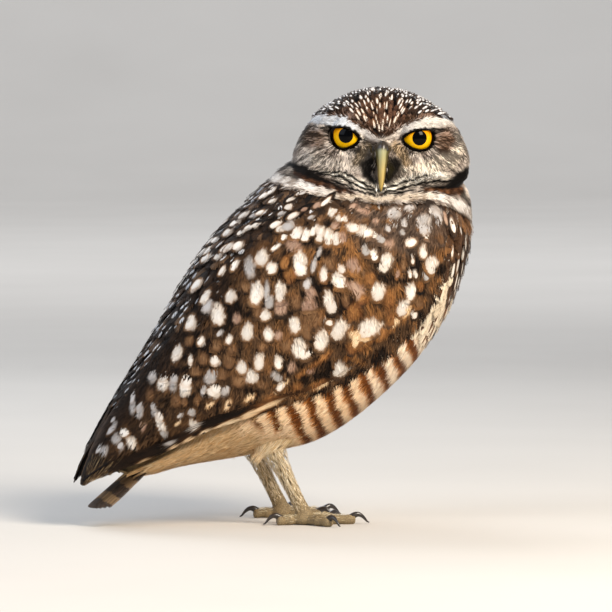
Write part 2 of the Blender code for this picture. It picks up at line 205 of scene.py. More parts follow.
def head_normal(p):
    d = unit(p)
    t1 = unit(np.cross(d, np.where(np.abs(d[..., 2:3]) < 0.9, np.array((0, 0, 1.0)), np.array((1.0, 0, 0)))))
    t2 = np.cross(d, t1)
    e = 0.02
    zero = np.zeros(d.shape[:-1])
    a = head_point(d + t1 * e, zero) - head_point(d - t1 * e, zero)
    b = head_point(d + t2 * e, zero) - head_point(d - t2 * e, zero)
    n = unit(np.cross(a, b))
    return n * np.sign(dot(n, d))[..., None]


def from_head(p):
    return p @ FACE.T + HEAD_CENTRE


def to_head(p):
    return (p - HEAD_CENTRE) @ FACE


def face_map(p):
    """(across, down) on the flat map of the face, of points in drawing coordinates."""
    q = p - ORIGIN - AIM
    k = FAR / (FAR - q @ BACK) / 0.45
    return 306 + (q @ RIGHT) * k, 306 - (q @ UP) * k


# a place on the face map back to a point on the front of the head, by a fine grid of directions
_az, _el = np.meshgrid(np.radians(np.linspace(-5, 185, 381)), np.radians(np.linspace(-85, 88, 347)))
_front = np.stack((np.cos(_el) * np.cos(_az), np.cos(_el) * np.sin(_az), np.sin(_el)), -1).reshape(-1, 3)
_front = _front * head_radius(_front)[:, None]
_across, _down = face_map(from_head(_front))
_tree = kdtree.KDTree(len(_front))
for _i, (_a, _b) in enumerate(zip(_across, _down)):
    _tree.insert((_a, _b, 0), _i)
_tree.balance()


def on_face(across, down):
    """The nearest point of the front of the head, in head coordinates, to each place of the face map."""
    found = []
    for a, b in zip(np.atleast_1d(across), np.atleast_1d(down)):
        near = _tree.find_n((a, b, 0), 4)
        w = np.array([1 / (n[2] + 0.05) for n in near])
        found.append((_front[[n[1] for n in near]] * w[:, None]).sum(0) / w.sum())
    return np.array(found)


MIRROR = np.array((1.0, -1.0, 1.0))


def inverse(hull):
    """From places on the map to (s, angle) on the right side of a hull."""
    s, a = (q.ravel() for q in np.meshgrid(np.linspace(0.1, 8.9, 353), np.linspace(-95, 95, 286), indexing="ij"))
    facing = (hull.read(hull.n, s, a) * MIRROR) @ BACK > 0.02
    s, a = s[facing], a[facing]
    across, down = face_map(hull.at(s, a, np.zeros(len(s))) * MIRROR)
    tree = kdtree.KDTree(len(s))
    for i, (u, v) in enumerate(zip(across, down)):
        tree.insert((u, v, 0), i)
    tree.balance()

    def place(across, down):
        found = []
        for u, v in zip(np.atleast_1d(across), np.atleast_1d(down)):
            near = tree.find_n((u, v, 0), 4)
            w = np.array([1 / (n[2] + 0.02) for n in near])
            i = [n[1] for n in near]
            found.append(((s[i] * w).sum() / w.sum(), (a[i] * w).sum() / w.sum()))
        return np.array(found).T

    return place


ON_BODY, ON_TRUNK = inverse(BODY), inverse(TRUNK)


def on_map(hull, s, a):
    """The map's place of (s, angle), both sides taken as the right one."""
    return face_map(hull.at(s, a, np.zeros(len(s))) * MIRROR)


def turn_for(hull, s, a, lean):
    """The turn that shows as a lean on the map, in degrees to the left of straight down, and the surface's mm for a mm of the map."""
    e1 = unit(hull.read(hull.ds, s, a))
    e2 = unit(np.cross(unit(hull.read(hull.n, s, a)), e1))
    a1, a2 = (e1 * MIRROR) @ RIGHT, -(e1 * MIRROR) @ UP
    b1, b2 = (e2 * MIRROR) @ RIGHT, -(e2 * MIRROR) @ UP
    r = np.radians(lean)
    d1, d2 = -np.sin(r), np.cos(r)
    det = a1 * b2 - a2 * b1
    det = np.where(np.abs(det) < 0.15, 0.15 * np.where(det < 0, -1.0, 1.0), det)
    c, k = (d1 * b2 - d2 * b1) / det, (a1 * d2 - a2 * d1) / det
    c2, k2 = (d2 * b2 + d1 * b1) / det, (-a1 * d1 - a2 * d2) / det
    return np.degrees(np.arctan2(k, c)), np.hypot(c, k).clip(1, 2.2), np.hypot(c2, k2).clip(1, 2.2)


# ---------------------------------------------------------------- colours
def rgb(code):
    """A colour as written in sRGB hex, in linear light."""
    c = np.array([int(code[i : i + 2], 16) / 255 for i in (0, 2, 4)])
    return np.where(c <= 0.04045, c / 12.92, ((c + 0.055) / 1.055) ** 2.4)


def pick(rng, codes, n, spread=0.0):
    """n colours between neighbours of a list."""
    table = np.array([rgb(c) for c in codes])
    t = rng.random(n) * (len(table) - 1)
    i = np.minimum(t.astype(int), max(len(table) - 2, 0))
    f = (t - i)[:, None]
    c = table[i] * (1 - f) + table[np.minimum(i + 1, len(table) - 1)] * f
    return c * (1 + spread * rng.normal(0, 1, (n, 1))).clip(0.4, 1.8)


def blend(a, b, f):
    f = np.asarray(f)[..., None]
    return a * (1 - f) + b * f


def noise2(x, y, seed=0):
    """Smooth value noise in -1..1."""
    i, j = np.floor(x).astype(np.int64), np.floor(y).astype(np.int64)
    f, g = x - i, y - j
    f, g = f * f * (3 - 2 * f), g * g * (3 - 2 * g)

    def h(a, b):
        n = (a * 374761393 + b * 668265263 + seed * 974711) & 0x7FFFFFFF
        n = ((n ^ (n >> 13)) * 1274126177) & 0x7FFFFFFF
        return ((n ^ (n >> 16)) & 0xFFFF) / 32767.5 - 1

    return (h(i, j) * (1 - f) + h(i + 1, j) * f) * (1 - g) + (h(i, j + 1) * (1 - f) + h(i + 1, j + 1) * f) * g


# ---------------------------------------------------------------- shader graphs
class Graph:
    def __init__(self, name, roughness, **sockets):
        self.material = bpy.data.materials.new(name)
        self.material.use_nodes = True
        self.tree = self.material.node_tree
        self.shader = self.tree.nodes["Principled BSDF"]
        self.shader.inputs["Roughness"].default_value = roughness
        self.shader.inputs["Metallic"].default_value = 0.0
        for key, value in sockets.items():
            self.shader.inputs[key.replace("_", " ")].default_value = value

    def node(self, kind, **settings):
        n = self.tree.nodes.new(kind)
        for key, value in settings.items():
            setattr(n, key, value)
        return n

    def feed(self, socket, value):
        if isinstance(value, bpy.types.NodeSocket):
            self.tree.links.new(value, socket)
        else:
            socket.default_value = value

    def attribute(self, name, part="Vector"):
        return self.node("ShaderNodeAttribute", attribute_name=name).outputs[part]

    def math(self, operation, a, b=0.0, c=0.0, clamp=False):
        n = self.node("ShaderNodeMath", operation=operation, use_clamp=clamp)
        for socket, value in zip(n.inputs, (a, b, c)):
            self.feed(socket, value)
        return n.outputs[0]

    def step(self, x, low, high, to_low=0.0, to_high=1.0):
        n = self.node("ShaderNodeMapRange", interpolation_type="SMOOTHSTEP")
        for socket, value in zip(n.inputs, (x, low, high, to_low, to_high)):
            self.feed(socket, value)
        return n.outputs[0]

    def xyz(self, vector):
        n = self.node("ShaderNodeSeparateXYZ")
        self.feed(n.inputs[0], vector)
        return n.outputs[0], n.outputs[1], n.outputs[2]

    def vector(self, x, y, z):
        n = self.node("ShaderNodeCombineXYZ")
        for socket, value in zip(n.inputs, (x, y, z)):
            self.feed(socket, value)
        return n.outputs[0]

    def noise(self, vector, scale, detail=2.0, rough=0.5):
        n = self.node("ShaderNodeTexNoise")
        self.feed(n.inputs["Vector"], vector)
        self.feed(n.inputs["Scale"], scale)
        self.feed(n.inputs["Detail"], detail)
        self.feed(n.inputs["Roughness"], rough)
        return n.outputs["Fac"]

    def mix(self, fac, a, b, blend_type="MIX"):
        n = self.node("ShaderNodeMix", data_type="RGBA", blend_type=blend_type)
        self.feed(n.inputs[0], fac)
        self.feed(n.inputs[6], a)
        self.feed(n.inputs[7], b)
        return n.outputs[2]

    def grey(self, value):
        n = self.node("ShaderNodeCombineColor")
        for socket in n.inputs:
            self.feed(socket, value)
        return n.outputs[0]

    def length(self, x, y):
        return self.math("SQRT", self.math("ADD", self.math("MULTIPLY", x, x), self.math("MULTIPLY", y, y)))

    def bump(self, height, strength, distance):
        n = self.node("ShaderNodeBump")
        n.inputs["Strength"].default_value = strength
        n.inputs["Distance"].default_value = distance
        self.feed(n.inputs["Height"], height)
        self.feed(self.shader.inputs["Normal"], n.outputs[0])

    def colour(self, value):
        self.feed(self.shader.inputs["Base Color"], value)
        return self.material


def plumage_material(name, roughness, sheen):
    """Vane colour mottled and streaked along the barbs, two oval marks with soft warm rims, and bars."""
    g = Graph(name, roughness, Sheen_Weight=sheen, Sheen_Roughness=0.45, Specular_IOR_Level=0.12)
    x, y, seed = g.xyz(g.attribute("vane"))
    away = g.math("ABSOLUTE", y)
    along = g.math("SUBTRACT", x, g.math("MULTIPLY", away, 1.05))
    rough = g.noise(g.vector(g.math("MULTIPLY", along, 2.2), g.math("MULTIPLY", y, 0.35), seed), 1.0, 3.0, 0.6)
    fine = g.noise(g.vector(g.math("MULTIPLY", along, 6.0), g.math("MULTIPLY", y, 0.30), seed), 1.0, 2.0, 0.6)
    broad = g.noise(g.vector(g.math("MULTIPLY", x, 0.35), g.math("MULTIPLY", y, 0.35), seed), 1.0, 2.0, 0.5)
    cloud = g.noise(g.vector(g.math("MULTIPLY", x, 0.22), g.math("MULTIPLY", y, 0.22), g.math("MULTIPLY", seed, 3.1)), 1.0, 3.0, 0.6)
    wobble = g.math("MULTIPLY", g.math("SUBTRACT", rough, 0.5), 0.55)
    wobble = g.math("ADD", wobble, g.math("MULTIPLY", g.math("SUBTRACT", broad, 0.5), 0.65))
    base = g.attribute("tint", "Color")
    mark = g.attribute("mark", "Color")
    masks, halos, hearts = [], [], []
    for spot in ("spot_a", "spot_b"):
        sx, sy, soft = g.xyz(g.attribute(spot))
        d = g.math("ADD", g.length(sx, sy), wobble)
        masks.append(g.step(d, g.math("SUBTRACT", 0.86, soft), g.math("ADD", 1.10, soft), 1.0, 0.0))
        halos.append(g.math("MULTIPLY", g.step(d, 0.95, 1.62, 1.0, 0.0), g.step(soft, 0.04, 0.16, 1.0, 0.0)))
        hearts.append(g.step(d, 0.35, 1.05, 0.0, 1.0))
    phase, edge, strength = g.xyz(g.attribute("bars"))
    wave = g.math("SINE", g.math("MULTIPLY", g.math("ADD", phase, g.math("MULTIPLY", g.math("SUBTRACT", broad, 0.5), 0.35)), 2 * math.pi))
    bars = g.math("MULTIPLY", g.step(wave, g.math("SUBTRACT", 0.10, g.math("MULTIPLY", edge, 0.22)), g.math("SUBTRACT", 0.75, g.math("MULTIPLY", edge, 0.40))), g.step(edge, 0.18, 0.60))
    bars = g.math("MULTIPLY", bars, strength)
    mask = g.math("MAXIMUM", g.math("MAXIMUM", masks[0], masks[1]), bars)
    halo = g.math("MAXIMUM", halos[0], halos[1])
    rim = g.math("MULTIPLY", halo, g.step(g.math("SINE", g.math("MULTIPLY", seed, 9.7)), -0.4, 0.9, 0.10, 0.55))
    shade = g.math("MULTIPLY", g.math("ADD", 0.55, g.math("MULTIPLY", rough, 0.90)), g.step(cloud, 0.30, 0.72, 0.62, 1.35))
    _, green, _ = g.xyz(base)
    pale = g.step(green, 0.16, 0.45, 1.0, 0.22)
    shade = g.math("ADD", 1.0, g.math("MULTIPLY", g.math("SUBTRACT", shade, 1.0), pale))
    dark = g.mix(1.0, base, g.grey(shade), "MULTIPLY")
    dark = g.mix(rim, dark, g.mix(1.0, mark, (0.50, 0.29, 0.15, 1), "MULTIPLY"))
    light = g.mix(1.0, mark, g.grey(g.math("ADD", 0.84, g.math("MULTIPLY", fine, 0.32))), "MULTIPLY")
    heart = g.math("MULTIPLY", g.math("MINIMUM", hearts[0], hearts[1]), g.math("SUBTRACT", 1.0, bars))
    light = g.mix(g.math("MULTIPLY", heart, 0.45), light, g.mix(1.0, light, (0.80, 0.66, 0.52, 1), "MULTIPLY"))
    g.bump(fine, 0.45, 0.0002)
    return g.colour(g.mix(mask, dark, light))


PLUMAGE = plumage_material("plumage", 0.74, 0.05)


def strand_material(name):
    g = Graph(name, 0.78, Sheen_Weight=0.03, Sheen_Roughness=0.5, Specular_IOR_Level=0.08)
    x, y, seed = g.xyz(g.attribute("vane"))
    n = g.noise(g.vector(g.math("MULTIPLY", x, 0.6), g.math("MULTIPLY", y, 6.0), seed), 1.0, 2.0, 0.5)
    return g.colour(g.mix(1.0, g.attribute("tint", "Color"), g.grey(g.math("ADD", 0.70, g.math("MULTIPLY", n, 0.60))), "MULTIPLY"))


STRANDS = strand_material("fine_plumage")


# ---------------------------------------------------------------- meshes
def put(name, points, faces, material, attributes=(), uv=None, slot=None, smooth_faces=True):
    """A mesh object from points in drawing mm, riding on the root."""
    co = np.asarray((points - ORIGIN) * MM, np.float32)
    faces = np.asarray(faces, np.int32)
    k = faces.shape[1]
    me = bpy.data.meshes.new(name)
    me.vertices.add(len(co))
    me.vertices.foreach_set("co", co.ravel())
    me.loops.add(faces.size)
    me.loops.foreach_set("vertex_index", faces.ravel())
    me.polygons.add(len(faces))
    me.polygons.foreach_set("loop_start", np.arange(0, faces.size, k, dtype=np.int32))
    me.update(calc_edges=True)
    for key, data in attributes:
        if data.shape[1] == 4:
            me.attributes.new(key, "FLOAT_COLOR", "POINT").data.foreach_set("color", np.asarray(data, np.float32).ravel())
        else:
            me.attributes.new(key, "FLOAT_VECTOR", "POINT").data.foreach_set("vector", np.asarray(data, np.float32).ravel())
    if uv is not None:
        layer = me.uv_layers.new(name="OFBake")
        layer.data.foreach_set("uv", np.asarray(uv[faces.ravel()], np.float32).ravel())
    if smooth_faces:
        me.shade_smooth()
    obj = bpy.data.objects.new(name, me)
    bpy.context.scene.collection.objects.link(obj)
    me.materials.append(material)
    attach(obj, "root")
    return obj


class Coat:
    """Feathers of one piece, gathered and then joined into one mesh."""

    keys = ("tint", "mark", "spot_a", "spot_b", "vane", "bars")

    def __init__(self, name, slot, material, far_slots=()):
        self.name, self.slot, self.material = name, slot, material
        self.points, self.faces, self.data, self.flat, self.place, self.count = [], [], {k: [] for k in self.keys}, [], [], 0

    def add(self, points, faces, data, flat, place):
        """points (F, V, 3), faces (T, 3) of one feather, data of (F, V, 3), flat (F, V, 2) in its cell, place (F, 2)."""
        f, v = points.shape[:2]
        self.faces.append((faces[None] + (np.arange(f) * v)[:, None, None] + self.count).reshape(-1, 3))
        self.count += f * v
        self.points.append(points.reshape(-1, 3))
        for k in self.keys:
            self.data[k].append(np.broadcast_to(data[k], (f, v, 3)).reshape(-1, 3))
        self.flat.append(flat.reshape(-1, 2))
        self.place.append(np.repeat(place, v, 0))
        self.sizes = getattr(self, "sizes", []) + [(f, v)]

    def finish(self):
        points, faces = np.concatenate(self.points), np.concatenate(self.faces)
        place = np.concatenate([p for p in self.place])
        # one cell of the map for each feather, in the order of the roots on the unwrapped skin
        starts = []
        n = 0
        for f, v in self.sizes:
            starts += [(n + i * v, v) for i in range(f)]
            n += f * v
        roots = place[[s for s, _ in starts]]
        total = len(starts)
        rows = max(1, int(math.ceil(math.sqrt(total))))
        order = np.argsort(roots[:, 0], kind="stable")
        cell = np.zeros((total, 2))
        for r in range(rows):
            members = order[r * rows : (r + 1) * rows]
            members = members[np.argsort(roots[members, 1], kind="stable")]
            cell[members, 0] = np.arange(len(members))
            cell[members, 1] = r
        per = np.concatenate([np.repeat(i, v) for i, (_, v) in enumerate(starts)])
        flat = np.concatenate(self.flat)
        uv = (cell[per] + 0.08 + 0.84 * np.clip(flat, 0, 1)) / rows
        attributes = []
        for k in self.keys:
            data = np.concatenate(self.data[k])
            if k in ("tint", "mark"):
                data = np.concatenate([data.clip(0, 1), np.ones((len(data), 1))], 1)
            elif self.material is STRANDS and k not in ("vane",):
                continue
            attributes.append((k, data))
        self.mean = np.concatenate(self.data["tint"])
        obj = put(self.name, points, faces, self.material, attributes, uv, self.slot)
        SEEN.append((points[:: 16], self.mean[:: 16]))
        print("coat", self.name, len(faces), "triangles,", total, "feathers")
        TOTAL.append(len(faces))
        return obj


SEEN, TOTAL = [], []


def vane(rng, f, barbs, length, half, fray=0.35, blunt=0.62, start=0.22, shoulder=0.42, ragged=0.08, bow=0.10, ends=(0, 0.42, 0.78, 1.0), lean=0.0, tip_width=0.35):
    """Local coordinates of f feathers built of strips along their barbs: x along the shaft, y across, in mm,
    with each point's strip number, place on the barb t, and edge. length and half are (F,) arrays."""
    t = np.array(ends)
    j = np.arange(barbs)
    side = np.array((1.0, -1.0))
    S, J, T, E = np.meshgrid(side, j, t, np.array((0.0, 1.0)), indexing="ij")
    S, J, T, E = (q.ravel() for q in (S, J, T, E))
    strip = ((S < 0) * barbs + J).astype(int)
    jitter = rng.normal(0, 1, (f, 2 * barbs))
    sway = rng.normal(0, 1, (f, 2 * barbs))
    width = 1 - fray * T**1.5
    k = (J + 0.5 * (1 - width) + E * width)[None] + 0.25 * fray * sway[:, strip] * T[None] ** 2
    q = np.clip(k / barbs, 0, 1)
    lean = np.broadcast_to(lean, (f,))[:, None]
    ru = start + (1 - start) * q**1.08
    tu = shoulder + (1 - shoulder) * np.sin(q * math.pi / 2)
    tv = (1 - 0.22 * (1 - q) ** 4) * np.cos(q * math.pi / 2) ** blunt
    reach = 1 + ragged * jitter[:, strip] * T[None]
    x = (ru + (tu - ru) * T * reach - bow * np.sin(math.pi * T) * tv * 0.35) * length[:, None]
    y = tv * T * reach * half[:, None] * S[None]
    y = y + lean * (x / length[:, None]) ** 2 * half[:, None]
    quads = []
    n = len(t)
    for sd in range(2):
        for b in range(barbs):
            base = (sd * barbs + b) * n * 2
            for i in range(n - 1):
                a, c = base + 2 * i, base + 2 * i + 2
                tri = [(a, a + 1, c + 1), (a, c + 1, c)]
                quads += tri if sd == 1 else [t3[::-1] for t3 in tri]
    return x, y, np.broadcast_to(T, x.shape), np.broadcast_to(E, x.shape), strip, np.array(quads)


def spot(x, y, at_x, at_y, rx, ry, tilt=0.0, soft=0.0):
    """Each point's place relative to an oval mark, 1 on its edge, and how soft the edge is."""
    at_x, at_y, rx, ry, tilt, soft = (np.broadcast_to(v, (len(x),))[:, None] for v in (at_x, at_y, rx, ry, tilt, soft))
    c, s = np.cos(tilt), np.sin(tilt)
    dx, dy = x - at_x, y - at_y
    return np.stack(((dx * c + dy * s) / rx, (dy * c - dx * s) / ry, soft + np.zeros_like(dx)), -1)


def nothing(x):
    return np.full((*x.shape, 3), 9.0)


def feather_data(rng, x, y, t, strip, length, half, tint, fringe, fringe_amount, root_dark_and_shade, mark, spots, bars=None, tip_pale=0.0, variety=0.10):
    """Colours and marks of each point of a set of feathers."""
    f = len(x)
    u = (x / length[:, None]).clip(0, 1.05)
    tone = 1 + variety * rng.normal(0, 1, (f, strip.max() + 1))[:, strip]
    c = tint[:, None, :] * tone[..., None]
    edge = ((t**3) * fringe_amount).clip(0, 1)
    c = blend(c, fringe[:, None, :] * np.ones_like(c), edge)
    # darker towards the root and near the shaft: partly the feathers' own dark bases, partly painted shade where each
    # feather lies under the next
    dark = root_dark_and_shade + (1 - root_dark_and_shade) * ease(u, 0.30, 0.72)
    c = c * dark[..., None] * (0.78 + 0.22 * ease(t, 0.0, 0.35))[..., None]
    seed = rng.random(f)[:, None] * 50 + np.zeros_like(x)
    return {
        "tint": c,
        # the mark darkens towards the root the same way: own dark base and painted shade
        "mark": mark[:, None, :] * (root_dark_and_shade + (1 - root_dark_and_shade) * ease(u, 0.15, 0.55))[..., None],
        "spot_a": spots[0] if len(spots) > 0 else nothing(x),
        "spot_b": spots[1] if len(spots) > 1 else nothing(x),
        "vane": np.stack((x, y, seed), -1),
        "bars": bars if bars is not None else np.zeros((*x.shape, 3)),
    }


def cell_uv(x, y, length, half):
    return np.stack((0.5 + 0.5 * y / (1.25 * half[:, None]), (x / length[:, None] - 0.05) / 1.02), -1)


def lay(hull, s0, a0, turn, x, y, h, side):
    """Feather points onto the hull from roots (s0, a0), side +1 left or -1 right."""
    mx, my = hull.frame_at(s0, a0, turn)
    s = s0[:, None] + x * mx[:, None, 0] + y * my[:, None, 0]
    a = a0[:, None] + x * mx[:, None, 1] + y * my[:, None, 1]
    p = hull.at(s, a, h)
    return p * np.array((1, side, 1)), s, a


def heights(x, y, t, e, length, half, low, high, camber, tilt=0.05, droop=0.25, curve=1.0):
    u = (x / length[:, None]).clip(0, 1.1)
    return low[:, None] + (high - low)[:, None] * u**curve + camber * (1 - (y / half[:, None]) ** 2) + tilt * (0.5 - e) * 2 * t - droop * t**3


def strand_points(rng, length, width, points=5):
    """Local coordinates of tapering strands: x along, y across."""
    f = len(length)
    u = np.linspace(0, 1, points)
    w = np.array([0.7, 1.0, 0.95, 0.65, 0.0]) if points == 5 else np.append(np.linspace(1, 0.6, points - 1), 0)
    bend = rng.normal(0, 0.10, f)[:, None] * length[:, None]
    cols_x, cols_y, cols_u = [], [], []
    for i in range(points - 1):
        for sgn in (1, -1):
            cols_x.append(u[i] * length)
            cols_y.append(sgn * 0.5 * w[i] * width + bend[:, 0] * u[i] ** 2)
            cols_u.append(np.full(f, u[i]))
    cols_x.append(length), cols_y.append(bend[:, 0]), cols_u.append(np.ones(f))
    faces = []
    for i in range(points - 2):
        a = 2 * i
        faces += [(a, a + 1, a + 3), (a, a + 3, a + 2)]
    a = 2 * (points - 2)
    faces.append((a, a + 1, a + 2))
    return np.stack(cols_x, 1), np.stack(cols_y, 1), np.stack(cols_u, 1), np.array(faces)[:, ::-1]


def strand_data(x, y, seed, tint):
    z = np.zeros((*x.shape, 3))
    return {"tint": tint, "mark": z, "spot_a": z, "spot_b": z, "bars": z, "vane": np.stack((x, y, np.broadcast_to(seed[:, None], x.shape)), -1)}


# ---------------------------------------------------------------- body feathers
def lattice(hull, rng, s_range, spacing_s, spacing_a, at_angle, low_high, jitter=0.22):
    """Roots in rows along the hull, half a step apart from row to row."""
    roots = []
    s, row = s_range[0], 0
    while s < s_range[1]:
        low, high = low_high(s)
        a = low
        step = None
        first = True
        while a < high:
            m = np.linalg.norm(hull.read(hull.da, np.array([s]), np.array([a])), axis=-1)[0]
            step = spacing_a / max(m, 0.05)
            if first:
                a += step * (0.25 + 0.5 * (row % 2))
                first = False
                continue
            roots.append((s, a, step))
            a += step
        m = np.linalg.norm(hull.read(hull.ds, np.array([s]), np.array([at_angle])), axis=-1)[0]
        s += spacing_s / m
        row += 1
    if not roots:
        return np.zeros(0), np.zeros(0)
    roots = np.array(roots)
    ms = np.linalg.norm(hull.read(hull.ds, roots[:, 0], roots[:, 1]), axis=-1)
    s = roots[:, 0] + rng.normal(0, 1, len(roots)) * jitter * spacing_s / ms
    a = roots[:, 1] + rng.normal(0, 1, len(roots)) * jitter * roots[:, 2]
    return s, a


def back_up(hull, s, a, length, turn):
    """The root of a feather whose tip is at (s, a)."""
    mx, _ = hull.frame_at(s, a, turn)
    return s - length * mx[:, 0] * 0.96, a - length * mx[:, 1] * 0.96


def under_band(u, v):
    """How far below the pale throat band's lower edge a place on the map is."""
    return v - np.interp(u, (240, 262, 285, 320, 345, 385, 425, 455, 478), (165, 178, 188, 197.5, 202, 204.5, 202.5, 208, 226))


WING_LINE = np.array(((90, 490), (120, 476), (130, 470), (150, 462), (175, 450), (200, 441), (237, 425), (262, 414), (290, 401), (310, 391), (330, 380), (350, 369), (370, 356), (395, 335), (410, 318), (425, 297), (440, 265), (447, 240)), float)


def below_wing(u, v):
    """How far a place on the map is below the wing's lower edge."""
    return v - np.interp(u, WING_LINE[:, 0], WING_LINE[:, 1])


def tract(coat, hull, rng, side, tips, kind, rows=()):
    """A set of feathers on the hull, whose tips come at the given (s, angle)."""
    s1, a1 = tips
    if not len(s1):
        return
    f = len(s1)
    look = kind(rng, s1, a1)
    tip = hull.at(s1, a1, np.zeros(f)) * np.array((1, side, 1))
    facing = dot(unit(hull.read(hull.n, s1, a1)) * np.array((1, side, 1)), BACK)
    across, down = face_map(tip)
    clear = under_band(across, down)
    keep = ~((facing > -0.1) & (clear < 4.0) & (down < 240))
    if not keep.all():
        look = {k: ([tuple(q[keep] if isinstance(q, np.ndarray) else q for q in row) for row in v] if k == "spots" else [q[keep] for q in v] if k == "on" else v[keep] if isinstance(v, np.ndarray) else v) for k, v in look.items()}
        s1, a1, facing, clear = s1[keep], a1[keep], facing[keep], clear[keep]
        f = len(s1)
    look["high"] = look["high"] - 0.9 * ease(clear, 30, 6) * ease(facing, -0.2, 0.1)
    length, half, turn = look["length"], look["half"], look.get("turn", np.zeros(f))
    s0, a0 = back_up(hull, s1, a1, length, turn)
    x, y, t, e, strip, faces = vane(rng, f, look.get("barbs", 10), length, half, look.get("fray", 0.35), look.get("blunt", 0.62), ragged=look.get("ragged", 0.08), lean=look.get("lean", 0.0) * rng.normal(0, 1, f))
    low, high = look["low"], look["high"]
    h = heights(x, y, t, e, length, half, low, high, look.get("camber", 0.35), droop=look.get("droop", 0.25))
    h = h + rng.normal(0, 0.05, (f, strip.max() + 1))[:, strip] * t * look.get("loose", 1.0)
    p, s, a = lay(hull, s0, a0, turn, x, y, h, side)
    if "tucked" in look:  # under the wing's edge
        across, down = face_map(p * np.array((1, -side, 1)))
        h = h - look["tucked"] * ease(below_wing(across, down), 3, -4) * ease(a, -80, -60)
        p, s, a = lay(hull, s0, a0, turn, x, y, h, side)
    spots = [spot(x, y, *args) for args in look.get("spots", [])]
    for q, on in zip(spots, look.get("on") or [np.ones(f, bool)] * 2):
        q[~on] = 9.0
    bars = None
    if "bands" in look:  # bars that run on from feather to feather
        across, down = face_map(p * np.array((1, -side, 1)))
        phase = (0.91 * across - 0.41 * down - 117) / 19.4 + 0.25 + look["bands"][:, None] + 0.10 * (y / half[:, None]) ** 2
        bars = np.stack((phase, np.ones_like(phase), np.broadcast_to(look["strength"][:, None], x.shape)), -1)
    # look's root sets how dark each feather is at its root: own dark bases and painted shade under the next feather
    data = feather_data(rng, x, y, t, strip, length, half, look["tint"], look["fringe"], look.get("edge", 0.3), look.get("root", 0.4), look["mark"], spots, bars, variety=look.get("variety", 0.10))
    if rows:  # the marks run on over whatever feather lies there
        across, down = face_map(p * np.array((1, -side, 1)))
        data["tint"] = daub(data["tint"].copy(), across, down, np.broadcast_to(rng.random((f, 1)), across.shape), rows)
    if side < 0:
        faces = faces[:, ::-1]
    coat.add(p, faces, data, cell_uv(x, y, length, half), np.stack((s0, np.where(side < 0, -a0 - 200, a0)), -1))


def rand(rng, n, low, high):
    return low + (high - low) * rng.random(n)


MARKS = {
    "w": ("c9c2b9", "ece6dd"), "g": ("9a9693", "bcb8b6"), "p": ("8d7060", "ad917d"), "b": ("62462f", "826244"), "o": ("70482a", "96693c"), "c": ("dab98f", "f0d8b3"),
}
SOFT = {"w": 0.0, "g": 0.10, "p": 0.16, "b": 0.34, "o": 0.34, "c": 0.05}


